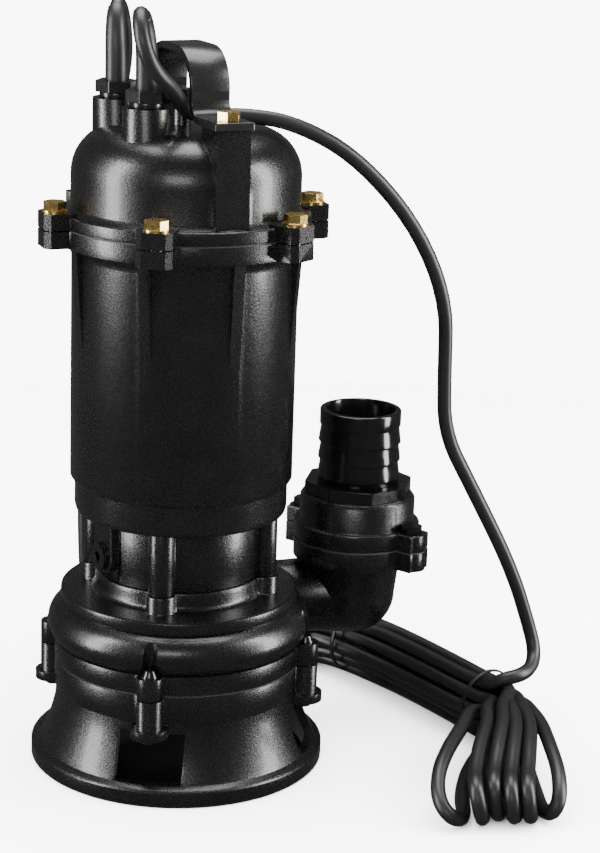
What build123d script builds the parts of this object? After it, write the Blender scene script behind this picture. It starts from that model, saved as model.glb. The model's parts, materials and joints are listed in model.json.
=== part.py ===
"""Submersible sewage pump: cast casings, motor, hydraulics, outlet with a non-return flap, two leads.

Millimetres, +Z up. The origin is on the pump's axis, on the surface that its foot ring stands on.
Azimuth 0 points along -Y, and a positive azimuth turns towards +X.
"""
import os
from math import cos, pi, radians, sin, tan

from build123d import *

os.makedirs("parts", exist_ok=True)

# ---------------------------------------------------------------- driving dimensions
# Base with its windowed skirt
RIM_R, RIM_H = 91.5, 11.0
SKIRT_FOOT_R, SKIRT_TOP_R, SKIRT_WALL = 86.5, 75.5, 6.0
BASE_RING_R, BASE_RING_LOW, BASE_TOP = 77.0, 48.2, 65.2
PLATE_LOW, SUCTION_BORE_R = 57.0, 38.0
WINDOW_WIDTH, WINDOW_LOW, WINDOW_HIGH = 41.0, 12.4, 41.4
OPEN_LUG_AZIMUTHS, BLIND_LUG_AZIMUTH = (-101.8, -11.8, 78.2), 168.2
LUG_AZIMUTHS = OPEN_LUG_AZIMUTHS + (BLIND_LUG_AZIMUTH,)
LUG_CIRCLE_R, LUG_R, LUG_PAD_R, LUG_PAD_H = 80.8, 7.7, 11.0, 5.6
BOLT_R, BOLT_HOLE_R = 4.0, 4.1
GASKET = 1.0

# Volute
VOLUTE_LOW = BASE_TOP + GASKET
VOLUTE_FLANGE_TOP, VOLUTE_LUG_TOP = 78.2, 79.4
BOLT_TIP_R, BOLT_TIP_H = 4.8, 4.2
BLIND_LUG_H = 5.0
VOLUTE_BULGE_R, VOLUTE_BULGE_Z = 81.3, 89.5
VOLUTE_TOP, VOLUTE_ROOF = 102.8, 97.5
VOLUTE_BORE_R, CASTING_WALL = 46.0, 5.0

# Seal plate and oil chamber
SEAL_PLATE_R, SEAL_PLATE_TOP, SEAL_RING_TOP = 73.4, 110.9, 121.6
CHAMBER_R, CHAMBER_WALL, CHAMBER_TOP = 50.0, 5.0, 160.6
COLUMN_CIRCLE_R, COLUMN_R, COLUMN_BOSS_R = 53.0, 7.8, 9.0
OIL_PLUG_AZIMUTH, OIL_PLUG_Z, OIL_BOSS_R, OIL_FACE_R = -60.5, 137.0, 11.5, 54.0

# Motor housing and top cover
STEP_R, STEP_TOP = 65.2, 179.7
HOUSING_R, HOUSING_STEP_Z, HOUSING_BORE_R, HOUSING_FLOOR = 68.0, 183.0, 62.0, 167.0
FLANGE_R, FLANGE_LOW, SEAM_Z, COVER_FLANGE_TOP = 75.2, 326.6, 337.9, 345.8
SEAM_GASKET = 0.8
BRACKET_SEAT_Z, BRACKET_R = 318.0, 64.0
COVER_BOLT_AZIMUTHS = (-71.8, -11.8, 51.6, 108.2, 168.2, 231.6)
COVER_BOLT_CIRCLE_R, COVER_LUG_R, COVER_LUG_WIDTH, COVER_LUG_TOP = 80.4, 88.8, 21.3, 347.5
RIB_COUNT, RIB_AZIMUTH, RIB_WIDTH, RIB_STAND, RIB_LOW = 8, 26.0, 7.0, 4.4, 265.0
DOME_R, DOME_SHOULDER, DOME_TOP, DOME_WALL = 68.6, 28.0, 396.0, 5.0
HANDLE_AZIMUTH = 22.0
HANDLE_AZIMUTHS = (HANDLE_AZIMUTH, HANDLE_AZIMUTH + 180.0)
PILLAR_WIDTH, PILLAR_INNER_R, PILLAR_OUTER_R, PILLAR_TOP = 21.0, 48.0, 70.5, 403.0
VENT_X, VENT_BOSS_R, VENT_BOSS_TOP = -3.5, 5.6, 409.0

# Handle strap
STRAP_WIDTH, STRAP_THICK, STRAP_LEG_R, STRAP_FOOT_R, STRAP_TOP = 24.0, 4.5, 33.0, 72.0, 444.8
STRAP_FOOT_BEND, STRAP_TOP_BEND, HANDLE_BOLT_R = 10.0, 22.0, 62.0

# Cable glands and the leads' common section
GLAND_SPOTS = ((-23.6, -34.0), (-42.4, 8.0))
GLAND_BOSS_R, GLAND_BOSS_TOP = 14.0, 410.7
GLAND_SEAT_Z, SLEEVE_LOW, GLAND_NUT_TOP, SLEEVE_TOP = 414.0, 418.0, 421.0, 432.0
CABLE_R = 4.6

# Motor and shaft
SHAFT_R_IMPELLER, SHAFT_R_SEAL, SHAFT_R_BEARING, SHAFT_R_ROTOR, SHAFT_R_TOP = 8.0, 9.0, 10.0, 14.0, 8.5
STATOR_LOW, STATOR_HIGH, ROTOR_R, AIR_GAP = 198.0, 284.0, 33.0, 0.4
SLOT_COUNT, SLOT_DEPTH, SLOT_WIDTH = 24, 14.0, 4.6
LOWER_BEARING = {"low": 167.0, "width": 14.0, "inner_r": 10.0, "outer_r": 23.5, "ball_r": 3.9, "balls": 8}
UPPER_BEARING = {"low": 306.0, "width": 12.0, "inner_r": 8.5, "outer_r": 20.0, "ball_r": 3.3, "balls": 8}
RACE_PLAY = 0.05

# Impeller and cutter
IMPELLER_R, IMPELLER_LOW, SHROUD_LOW, SHROUD_TOP, IMPELLER_VANES = 62.0, 69.0, 86.0, 90.0, 6
CUTTER_R, CUTTER_LOW, CUTTER_HIGH = 21.0, 57.5, 69.0

# Outlet on the discharge elbow
OUTLET_X, OUTLET_Y = 115.0, 75.6
PIPE_R, THROAT_START_R = 24.0, 13.0
THROAT_START, THROAT_END = Vector(-22.0, 52.0, 87.0), Vector(78.0, OUTLET_Y, 77.5)
ELBOW_R, ELBOW_Z, ELBOW_BACK = 27.6, 81.5, 1.0
OUTLET_FLANGE_LOW, OUTLET_FLANGE_SEAM, OUTLET_FLANGE_TOP = 107.0, 119.0, 131.0
OUTLET_FLANGE_R, OUTLET_BORE_R, OUTLET_LOBE_AZIMUTH = 41.0, 24.0, 49.0
OUTLET_BOLT_R, OUTLET_LOBE_R = 44.0, 9.8
VALVE_R, VALVE_TOP, VALVE_BORE_R, SEAT_TOP, SEAT_R = 37.4, 150.0, 32.0, 130.0, 16.0
FLAP_R, FLAP_THICK, FLAP_GAP, PIN_BACK, PIN_Z, PIN_R = 19.0, 3.5, 0.2, 23.0, 135.0, 2.5
COLLAR_FLATS, COLLAR_TOP = 66.0, 158.0
BARB_R, BARB_BORE_R, BARB_TOP, BARB_PITCH, BARB_COUNT = 26.3, 22.5, 205.4, 11.4, 3

# Free leads: corners of their routes, in the order in which the cable runs
SUPPLY_ROUTE = [
    (-23.6, -34.0, 410.0), (-23.6, -34.0, 434.0), (-24.2, -35.0, 447.5), (-25.8, -39.0, 459.5),
    (-27.2, -47.5, 466.0), (-27.6, -57.5, 463.0), (-26.2, -63.5, 453.0), (-22.6, -63.0, 441.5),
    (-16.8, -56.5, 432.0), (-10.0, -47.8, 424.5), (-5.9, -36.0, 417.0), (-2.5, -24.0, 409.5),
    (4.0, -15.0, 404.8), (16.0, -10.5, 403.4), (33.0, -6.5, 403.9), (62.0, -1.0, 399.8),
    (100.0, 6.0, 380.0), (138.0, 12.0, 339.0), (160.5, 18.0, 291.0), (162.0, 24.0, 243.5),
    (164.0, 28.0, 203.0), (184.0, 33.5, 166.0), (213.0, 38.5, 111.0), (228.0, 42.0, 68.0),
    (232.0, 44.0, 36.0), (222.0, 43.5, 21.5), (207.0, 38.0, 17.0),
]
SWITCH_ROUTE = [
    (-42.4, 8.0, 410.0), (-42.4, 8.0, 434.0), (-43.0, 9.5, 448.0), (-43.2, 15.0, 459.5),
    (-42.4, 24.5, 464.5), (-40.6, 34.5, 460.0), (-38.6, 41.0, 449.0), (-38.0, 50.0, 431.0),
    (-42.0, 68.0, 406.0), (-50.0, 90.0, 375.0), (-57.0, 104.0, 330.0), (-61.0, 110.5, 270.0),
    (-63.0, 113.5, 205.0), (-64.2, 113.7, 145.0), (-64.0, 112.0, 98.0), (-61.5, 110.8, 62.0),
    (-53.0, 110.2, 34.0), (-36.0, 110.4, 13.5), (-14.0, 111.5, 4.8),
]
TAIL_ROUTE = [
    (96.0, 176.0, 16.0), (72.0, 184.0, 12.0), (54.0, 198.0, 7.5), (43.5, 218.0, 11.0), (40.0, 240.0, 17.5),
]

# Hank: centre line on the floor with the bundle's half width and height at each station
HANK_STATIONS = [
    ((47.0, 179.0), 22.0, 36.0), ((72.0, 178.0), 22.0, 38.0), ((108.0, 165.0), 20.5, 39.0),
    ((143.0, 134.0), 20.5, 41.0), ((174.0, 92.0), 21.0, 41.0), ((199.0, 50.0), 20.0, 40.0),
    ((205.0, 8.0), 29.0, 42.0), ((200.0, -52.0), 38.0, 36.0), ((193.0, -113.0), 34.0, 22.0),
]
TIES = ((2, 0.55), (5, 0.15))
TIE_GAP, TIE_THICK, TIE_WIDE = 0.6, 1.4, 2.6
COIL_CENTRE, COIL_MID_R, COIL_HALF_BAND, COIL_HEIGHT = (-14.0, 160.0), 48.5, 9.2, 18.6
PLUG_X, PLUG_LOW_Y, PLUG_RELIEF, PLUG_BODY, PLUG_R, PLUG_Z = 40.0, 240.0, 18.0, 30.0, 17.5, 17.5
PIN_LENGTH, PIN_SPREAD = 19.0, 9.5
CONNECTOR_R, CONNECTOR_LENGTH = 7.2, 44.0


# ---------------------------------------------------------------- helpers
def spot(azimuth, radius, height=0.0):
    """Location on the pump's circle, turned so that its local -Y points outwards."""
    angle = radians(azimuth)
    return Location((radius * sin(angle), -radius * cos(angle), height), (0, 0, azimuth))


def outline(*corners):
    """Face with (radius, height) corners, ready to revolve about the pump's axis."""
    with BuildSketch(Plane.XZ) as face:
        with BuildLine():
            Polyline(*corners, close=True)
        make_face()
    return face.sketch


def tube_outline(inner, outer, low, high):
    """Rectangular section of a ring about the pump's axis."""
    return outline((inner, low), (outer, low), (outer, high), (inner, high))


def lug_face(radius, reach, plane):
    """Round-nosed lug with its bolt hole, seen from above, at the front of the pump."""
    with BuildSketch(plane) as face:
        with Locations((0, -LUG_CIRCLE_R)):
            Circle(radius)
        with Locations((0, -LUG_CIRCLE_R + reach / 2)):
            Rectangle(2 * radius, reach)
        with Locations((0, -LUG_CIRCLE_R)):
            Circle(BOLT_HOLE_R, mode=Mode.SUBTRACT)
    return face.sketch


def oblong_face(plane, bore_r):
    """Two-lobed flange of the outlet, with its bore and two bolt holes."""
    lobe = radians(OUTLET_LOBE_AZIMUTH)
    reach = (OUTLET_BOLT_R * sin(lobe), -OUTLET_BOLT_R * cos(lobe))
    with BuildSketch(plane) as face:
        with Locations((OUTLET_X, OUTLET_Y)):
            Circle(OUTLET_FLANGE_R)
            with Locations(reach, (-reach[0], -reach[1])):
                Circle(OUTLET_LOBE_R)
                Rectangle(2 * OUTLET_LOBE_R, 1.4 * OUTLET_LOBE_R, rotation=OUTLET_LOBE_AZIMUTH)
            Circle(bore_r, mode=Mode.SUBTRACT)
            with Locations(reach, (-reach[0], -reach[1])):
                Circle(BOLT_HOLE_R, mode=Mode.SUBTRACT)
    return face.sketch


def corner_radii(name, route):
    """Bend radii of a lead's corners: as large as the two runs at each corner allow."""
    corners = [Vector(*corner) for corner in route]
    runs = [b - a for a, b in zip(corners, corners[1:])]
    radii = []
    for before, after in zip(runs, runs[1:]):
        half_turn = radians(before.get_angle(after)) / 2
        radii.append(0.45 * min(before.length, after.length) / tan(half_turn))
    print(name, "bend radii", [round(radius, 1) for radius in radii])
    return radii


def hex_bolts(locations, across_flats, head_height, shank_length, shank_r=BOLT_R):
    """Hex-headed bolts with their heads above each location and their shanks below it."""
    with BuildPart() as group:
        with Locations(*locations):
            Cylinder(shank_r, shank_length, align=(Align.CENTER, Align.CENTER, Align.MAX))
        for place in locations:
            with BuildSketch(Plane(place)):
                RegularPolygon(across_flats / 2, 6, major_radius=False)
            extrude(amount=head_height)
    return group


def bearing_middle(bearing):
    """Ball circle radius and height of a deep-groove bearing."""
    return (bearing["inner_r"] + bearing["outer_r"]) / 2, bearing["low"] + bearing["width"] / 2


# ---------------------------------------------------------------- base
with BuildPart() as base_skirt:
    with BuildSketch(Plane.XZ):
        with BuildLine():
            Polyline((SKIRT_FOOT_R - SKIRT_WALL, 0), (RIM_R - 1.2, 0), (RIM_R, 1.2), (RIM_R, RIM_H - 1.6),
                     (RIM_R - 1.6, RIM_H), (SKIRT_FOOT_R, WINDOW_LOW))
            ThreePointArc((SKIRT_FOOT_R, WINDOW_LOW), (79.2, 29.5), (SKIRT_TOP_R, BASE_RING_LOW))
            Polyline((SKIRT_TOP_R, BASE_RING_LOW), (BASE_RING_R, BASE_RING_LOW), (BASE_RING_R, BASE_TOP),
                     (SUCTION_BORE_R, BASE_TOP), (SUCTION_BORE_R, PLATE_LOW), (66.0, PLATE_LOW),
                     (SKIRT_TOP_R - SKIRT_WALL, BASE_RING_LOW))
            ThreePointArc((SKIRT_TOP_R - SKIRT_WALL, BASE_RING_LOW), (73.2, 29.5),
                          (SKIRT_FOOT_R - SKIRT_WALL, WINDOW_LOW))
            Line((SKIRT_FOOT_R - SKIRT_WALL, WINDOW_LOW), (SKIRT_FOOT_R - SKIRT_WALL, 0))
        make_face()
    revolve(axis=Axis.Z)
    for azimuth in LUG_AZIMUTHS:
        lug = lug_face(LUG_R, 12.0, Plane.XY.offset(WINDOW_HIGH))
        extrude(lug.rotate(Axis.Z, azimuth), amount=BASE_TOP - WINDOW_HIGH)
        pad = lug_face(LUG_PAD_R, 12.0, Plane.XY.offset(WINDOW_HIGH))
        extrude(pad.rotate(Axis.Z, azimuth), amount=LUG_PAD_H)
    with Locations(*[spot(azimuth, 77.0, WINDOW_LOW) for azimuth in LUG_AZIMUTHS]):
        Box(WINDOW_WIDTH, 40.0, WINDOW_HIGH - WINDOW_LOW, align=(Align.CENTER, Align.CENTER, Align.MIN),
            mode=Mode.SUBTRACT)
    with Locations(*[spot(azimuth, LUG_CIRCLE_R, BASE_TOP) for azimuth in LUG_AZIMUTHS]):
        Cylinder(BOLT_HOLE_R, 60.0, mode=Mode.SUBTRACT)
    with Locations(*[spot(azimuth, 44.0, PLATE_LOW) for azimuth in (0, 120, 240)]):
        Cylinder(2.6, 12.0, mode=Mode.SUBTRACT)
base_skirt.part.label = "base_skirt"
export_step(base_skirt.part, "parts/base_skirt.step")

with BuildPart() as suction_plate:
    revolve(outline((24.0, 53.0), (50.0, 53.0), (50.0, PLATE_LOW), (SUCTION_BORE_R - 0.1, PLATE_LOW),
                    (SUCTION_BORE_R - 0.1, 64.0), (24.0, 64.0)), axis=Axis.Z)
    with Locations(*[spot(azimuth, 44.0, PLATE_LOW) for azimuth in (0, 120, 240)]):
        Cylinder(2.6, 12.0, mode=Mode.SUBTRACT)
    with PolarLocations(26.5, 8):
        Cylinder(3.2, 140.0, mode=Mode.SUBTRACT)
suction_plate.part.label = "suction_plate"
export_step(suction_plate.part, "parts/suction_plate.step")

plate_screw_spots = [spot(azimuth, 44.0, 53.0) * Location((0, 0, 0), (180, 0, 0))
                     for azimuth in (0, 120, 240)]
suction_plate_screws = hex_bolts(plate_screw_spots, 8.0, 3.5, 9.5, shank_r=2.5)
suction_plate_screws.part.label = "suction_plate_screws"
export_step(suction_plate_screws.part, "parts/suction_plate_screws.step")

# ---------------------------------------------------------------- volute with its discharge elbow
with BuildPart() as volute_gasket:
    revolve(tube_outline(66.0, BASE_RING_R - 0.4, BASE_TOP, VOLUTE_LOW), axis=Axis.Z)
volute_gasket.part.label = "volute_gasket"
export_step(volute_gasket.part, "parts/volute_gasket.step")

# The discharge throat is a cone from inside the bulge to the start of the straight pipe
throat_line = THROAT_END - THROAT_START
throat_plane = Plane(origin=THROAT_START, z_dir=throat_line)
pipe_plane = Plane(origin=THROAT_END, x_dir=(0, 1, 0), z_dir=(1, 0, 0))
pipe_run = OUTLET_X - ELBOW_BACK - THROAT_END.X
elbow_centre = (OUTLET_X - ELBOW_BACK, OUTLET_Y, ELBOW_Z)


def throat_cone(wall):
    """Cone of the throat with a ball at its wide end, made smaller by a wall thickness."""
    with BuildPart() as cone:
        with Locations(throat_plane):
            Cone(THROAT_START_R - wall, PIPE_R - wall, throat_line.length,
                 align=(Align.CENTER, Align.CENTER, Align.MIN))
        with Locations(THROAT_END):
            Sphere(PIPE_R - wall)
    return cone.part


# Outside of the discharge: throat, pipe, elbow and flange, trimmed to the middle of the volute's wall
with BuildPart() as discharge:
    add(throat_cone(0.0))
    with BuildSketch(pipe_plane):
        Circle(PIPE_R)
    extrude(amount=pipe_run)
    with Locations(elbow_centre):
        Sphere(ELBOW_R)
        Cone(ELBOW_R, 30.5, OUTLET_FLANGE_LOW - ELBOW_Z + 1.0, align=(Align.CENTER, Align.CENTER, Align.MIN))
    extrude(oblong_face(Plane.XY.offset(OUTLET_FLANGE_LOW), CASTING_WALL),
            amount=OUTLET_FLANGE_SEAM - OUTLET_FLANGE_LOW)
    Cylinder(88.0, VOLUTE_LOW + 0.4, align=(Align.CENTER, Align.CENTER, Align.MIN), mode=Mode.SUBTRACT)
    with Locations((0, 0, VOLUTE_TOP - 0.4)):
        Cylinder(SEAL_PLATE_R + 0.6, 20.0, align=(Align.CENTER, Align.CENTER, Align.MIN), mode=Mode.SUBTRACT)
    with BuildSketch(Plane.XZ):
        with BuildLine():
            Polyline((0, 60.0), (72.0, 60.0), (72.0, 78.4))
            ThreePointArc((72.0, 78.4), (78.4, 89.3), (70.0, 100.2))
            Polyline((70.0, 100.2), (0, 100.2), (0, 60.0))
        make_face()
    revolve(axis=Axis.Z, mode=Mode.SUBTRACT)

with BuildPart() as volute_casing:
    with BuildSketch(Plane.XZ):
        with BuildLine():
            Polyline((66.0, VOLUTE_LOW), (BASE_RING_R, VOLUTE_LOW), (BASE_RING_R, VOLUTE_FLANGE_TOP),
                     (75.8, VOLUTE_FLANGE_TOP))
            ThreePointArc((75.8, VOLUTE_FLANGE_TOP), (VOLUTE_BULGE_R, VOLUTE_BULGE_Z), (73.0, 101.6))
            Polyline((73.0, 101.6), (72.0, VOLUTE_TOP), (VOLUTE_BORE_R, VOLUTE_TOP),
                     (VOLUTE_BORE_R, VOLUTE_ROOF), (67.5, VOLUTE_ROOF))
            ThreePointArc((67.5, VOLUTE_ROOF), (75.6, 89.0), (70.0, 79.5))
            Polyline((70.0, 79.5), (66.0, 76.0), (66.0, VOLUTE_LOW))
        make_face()
    revolve(axis=Axis.Z)
    with Locations(*[spot(azimuth, LUG_CIRCLE_R, VOLUTE_LUG_TOP) for azimuth in OPEN_LUG_AZIMUTHS]):
        Cylinder(BOLT_TIP_R + 0.2, BOLT_TIP_H + 0.4, align=(Align.CENTER, Align.CENTER, Align.MIN),
                 mode=Mode.SUBTRACT)
    add(discharge.part)
    add(throat_cone(CASTING_WALL), mode=Mode.SUBTRACT)
    with BuildSketch(pipe_plane):
        Circle(PIPE_R - CASTING_WALL)
    extrude(amount=pipe_run, mode=Mode.SUBTRACT)
    with Locations(elbow_centre):
        Sphere(ELBOW_R - CASTING_WALL, mode=Mode.SUBTRACT)
        Cylinder(ELBOW_R - CASTING_WALL, 60.0, align=(Align.CENTER, Align.CENTER, Align.MIN),
                 mode=Mode.SUBTRACT)
    for azimuth in LUG_AZIMUTHS:
        lug_height = BLIND_LUG_H if azimuth == BLIND_LUG_AZIMUTH else VOLUTE_LUG_TOP - VOLUTE_LOW
        lug = lug_face(LUG_R, 5.5, Plane.XY.offset(VOLUTE_LOW))
        extrude(lug.rotate(Axis.Z, azimuth), amount=lug_height)
    with Locations(spot(BLIND_LUG_AZIMUTH, LUG_CIRCLE_R, VOLUTE_LOW)):
        Cylinder(BOLT_HOLE_R, 2 * BLIND_LUG_H + 0.2, mode=Mode.SUBTRACT)
    with Locations(*[spot(azimuth, LUG_CIRCLE_R, VOLUTE_LUG_TOP) for azimuth in OPEN_LUG_AZIMUTHS]):
        Cylinder(BOLT_HOLE_R, 40.0, mode=Mode.SUBTRACT)
    with Locations(*[spot(azimuth, COLUMN_CIRCLE_R, VOLUTE_TOP) for azimuth in LUG_AZIMUTHS]):
        Cylinder(BOLT_HOLE_R, 14.0, mode=Mode.SUBTRACT)
volute_casing.part.label = "volute_casing"
export_step(volute_casing.part, "parts/volute_casing.step")

# Three bolts come down through the lugs; the fourth is blind, under the throat, and comes up
with BuildPart() as base_bolts:
    with Locations(*[spot(azimuth, LUG_CIRCLE_R, VOLUTE_LUG_TOP) for azimuth in OPEN_LUG_AZIMUTHS]):
        Cylinder(BOLT_R, VOLUTE_LUG_TOP - 37.4, align=(Align.CENTER, Align.CENTER, Align.MAX))
        Cone(BOLT_TIP_R, 3.0, BOLT_TIP_H, align=(Align.CENTER, Align.CENTER, Align.MIN))
    with Locations(spot(BLIND_LUG_AZIMUTH, LUG_CIRCLE_R, WINDOW_HIGH)):
        Cylinder(BOLT_R, VOLUTE_LOW + BLIND_LUG_H - WINDOW_HIGH,
                 align=(Align.CENTER, Align.CENTER, Align.MIN))
        Cone(4.4, 6.4, 4.4, align=(Align.CENTER, Align.CENTER, Align.MAX))
base_bolts.part.label = "base_bolts"
export_step(base_bolts.part, "parts/base_bolts.step")

# ---------------------------------------------------------------- seal plate and oil chamber
with BuildPart() as seal_plate:
    revolve(outline((10.5, VOLUTE_ROOF), (VOLUTE_BORE_R - 0.1, VOLUTE_ROOF),
                    (VOLUTE_BORE_R - 0.1, VOLUTE_TOP),
                    (SEAL_PLATE_R, VOLUTE_TOP), (SEAL_PLATE_R, SEAL_PLATE_TOP - 0.8),
                    (SEAL_PLATE_R - 0.8, SEAL_PLATE_TOP), (54.0, SEAL_PLATE_TOP),
                     (52.0, SEAL_PLATE_TOP + 2.0),
                    (51.4, SEAL_RING_TOP), (44.0, SEAL_RING_TOP), (44.0, SEAL_PLATE_TOP),
                     (15.0, SEAL_PLATE_TOP),
                    (15.0, 104.0), (10.5, 104.0)), axis=Axis.Z)
    with Locations(*[spot(azimuth, COLUMN_CIRCLE_R, SEAL_PLATE_TOP) for azimuth in LUG_AZIMUTHS]):
        Cylinder(COLUMN_BOSS_R, SEAL_RING_TOP - SEAL_PLATE_TOP, align=(Align.CENTER, Align.CENTER, Align.MIN))
        Cylinder(BOLT_HOLE_R, 40.0, mode=Mode.SUBTRACT)
seal_plate.part.label = "seal_plate"
export_step(seal_plate.part, "parts/seal_plate.step")

chamber_bolt_length = CHAMBER_TOP + 12.0 - VOLUTE_ROOF
chamber_bolt_spots = [spot(azimuth, COLUMN_CIRCLE_R, VOLUTE_ROOF) * Location((0, 0, 0), (180, 0, 0))
                      for azimuth in LUG_AZIMUTHS]
chamber_bolts = hex_bolts(chamber_bolt_spots, 13.0, 5.3, chamber_bolt_length)
chamber_bolts.part.label = "chamber_bolts"
export_step(chamber_bolts.part, "parts/chamber_bolts.step")

with BuildPart() as oil_chamber:
    revolve(tube_outline(CHAMBER_R - CHAMBER_WALL, CHAMBER_R, SEAL_RING_TOP, CHAMBER_TOP), axis=Axis.Z)
    column_height = CHAMBER_TOP - SEAL_RING_TOP
    with Locations(*[spot(azimuth, COLUMN_CIRCLE_R, SEAL_RING_TOP) for azimuth in LUG_AZIMUTHS]):
        Cylinder(COLUMN_R, column_height, align=(Align.CENTER, Align.CENTER, Align.MIN))
        Cylinder(BOLT_HOLE_R, 100.0, mode=Mode.SUBTRACT)
    oil_face = Plane(spot(OIL_PLUG_AZIMUTH, OIL_FACE_R, OIL_PLUG_Z) * Location((0, 0, 0), (90, 0, 0)))
    with BuildSketch(oil_face):
        Circle(OIL_BOSS_R)
        with Locations((0, (CHAMBER_TOP - OIL_PLUG_Z) / 2)):
            Rectangle(2 * OIL_BOSS_R, CHAMBER_TOP - OIL_PLUG_Z)
    extrude(amount=-8.0)
    with Locations((0, 0, SEAL_RING_TOP)):
        Cylinder(CHAMBER_R - CHAMBER_WALL, column_height, align=(Align.CENTER, Align.CENTER, Align.MIN),
                 mode=Mode.SUBTRACT)
    with BuildSketch(oil_face):
        Circle(6.0)
    extrude(amount=-20.0, mode=Mode.SUBTRACT)
oil_chamber.part.label = "oil_chamber"
export_step(oil_chamber.part, "parts/oil_chamber.step")

with BuildPart() as oil_plug_washer:
    with BuildSketch(oil_face):
        Circle(9.0)
        Circle(6.1, mode=Mode.SUBTRACT)
    extrude(amount=1.0)
oil_plug_washer.part.label = "oil_plug_washer"
export_step(oil_plug_washer.part, "parts/oil_plug_washer.step")

with BuildPart() as oil_plug:
    with BuildSketch(oil_face.offset(1.0)):
        Circle(8.4)
    extrude(amount=2.4)
    with BuildSketch(oil_face.offset(1.0)):
        Circle(5.9)
    extrude(amount=-9.0)
    with BuildSketch(oil_face.offset(3.4)):
        RegularPolygon(3.0, 6, major_radius=False)
    extrude(amount=-5.0, mode=Mode.SUBTRACT)
oil_plug.part.label = "oil_plug"
export_step(oil_plug.part, "parts/oil_plug.step")

# ---------------------------------------------------------------- motor housing
cover_spots = [(azimuth, COVER_BOLT_CIRCLE_R) for azimuth in COVER_BOLT_AZIMUTHS]


def cover_lug(plane):
    """Lug of the motor flange seen from above, at the front of the pump."""
    half, nose = COVER_LUG_WIDTH / 2, 3.5
    with BuildSketch(plane) as face:
        with BuildLine():
            Polyline((-half, -66.0), (-half, -COVER_LUG_R + nose), (-half + nose, -COVER_LUG_R),
                     (half - nose, -COVER_LUG_R), (half, -COVER_LUG_R + nose), (half, -66.0), close=True)
        make_face()
    return face.sketch


housing_seam = SEAM_Z - SEAM_GASKET
bearing_seat_top = LOWER_BEARING["low"] + LOWER_BEARING["width"]
with BuildPart() as motor_housing:
    revolve(outline((0, CHAMBER_TOP), (62.2, CHAMBER_TOP), (64.4, CHAMBER_TOP + 1.2),
                    (STEP_R, CHAMBER_TOP + 4.0),
                    (STEP_R, STEP_TOP), (66.4, STEP_TOP + 1.0), (HOUSING_R, HOUSING_STEP_Z),
                    (HOUSING_R, 319.0), (68.9, 322.6), (71.0, 325.6), (FLANGE_R, FLANGE_LOW),
                    (FLANGE_R, housing_seam), (0, housing_seam)), axis=Axis.Z)
    for azimuth, radius in cover_spots:
        extrude(cover_lug(Plane.XY.offset(FLANGE_LOW + 0.4)).rotate(Axis.Z, azimuth),
                amount=housing_seam - FLANGE_LOW - 0.4)
    for index in range(RIB_COUNT):
        with BuildSketch(Plane.YZ) as rib:
            with BuildLine():
                Polyline((-60.0, RIB_LOW), (-HOUSING_R, RIB_LOW), (-HOUSING_R - RIB_STAND, FLANGE_LOW + 2.0),
                         (-60.0, FLANGE_LOW + 2.0), close=True)
            make_face()
        extrude(rib.sketch.rotate(Axis.Z, RIB_AZIMUTH + index * 360.0 / RIB_COUNT), amount=RIB_WIDTH / 2,
                both=True)
    revolve(outline((0, HOUSING_FLOOR), (23.5, HOUSING_FLOOR), (23.5, bearing_seat_top),
                    (32.0, bearing_seat_top), (32.0, HOUSING_FLOOR + 2.0), (57.0, HOUSING_FLOOR + 2.0),
                    (57.0, 188.0), (HOUSING_BORE_R, 193.0), (HOUSING_BORE_R, BRACKET_SEAT_Z),
                    (BRACKET_R, BRACKET_SEAT_Z), (BRACKET_R, housing_seam), (0, housing_seam)),
            axis=Axis.Z, mode=Mode.SUBTRACT)
    Cylinder(14.0, 2 * HOUSING_FLOOR, mode=Mode.SUBTRACT)
    with Locations(*[spot(azimuth, radius, FLANGE_LOW) for azimuth, radius in cover_spots]):
        Cylinder(BOLT_HOLE_R, 40.0, mode=Mode.SUBTRACT)
    with Locations(*[spot(azimuth, COLUMN_CIRCLE_R, CHAMBER_TOP) for azimuth in LUG_AZIMUTHS]):
        Cylinder(BOLT_HOLE_R, 26.0, mode=Mode.SUBTRACT)
motor_housing.part.label = "motor_housing"
export_step(motor_housing.part, "parts/motor_housing.step")

with BuildPart() as cover_gasket:
    revolve(tube_outline(BRACKET_R, FLANGE_R - 0.3, housing_seam, SEAM_Z), axis=Axis.Z)
cover_gasket.part.label = "cover_gasket"
export_step(cover_gasket.part, "parts/cover_gasket.step")

# ---------------------------------------------------------------- top cover
dome_edge_z = DOME_TOP - DOME_SHOULDER


def dome_outline(radius, shoulder, top, low, crown):
    """Half section of the dome, from its axis to its side, as a face to revolve."""
    drop = shoulder * (1 - cos(pi / 4))
    with BuildSketch(Plane.XZ) as face:
        with BuildLine():
            Polyline((0, low), (radius, low), (radius, top - shoulder))
            ThreePointArc((radius, top - shoulder), (radius - drop, top - drop), (radius - shoulder, top))
            Polyline((radius - shoulder, top), (0, top + crown), (0, low))
        make_face()
    return face.sketch


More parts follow.
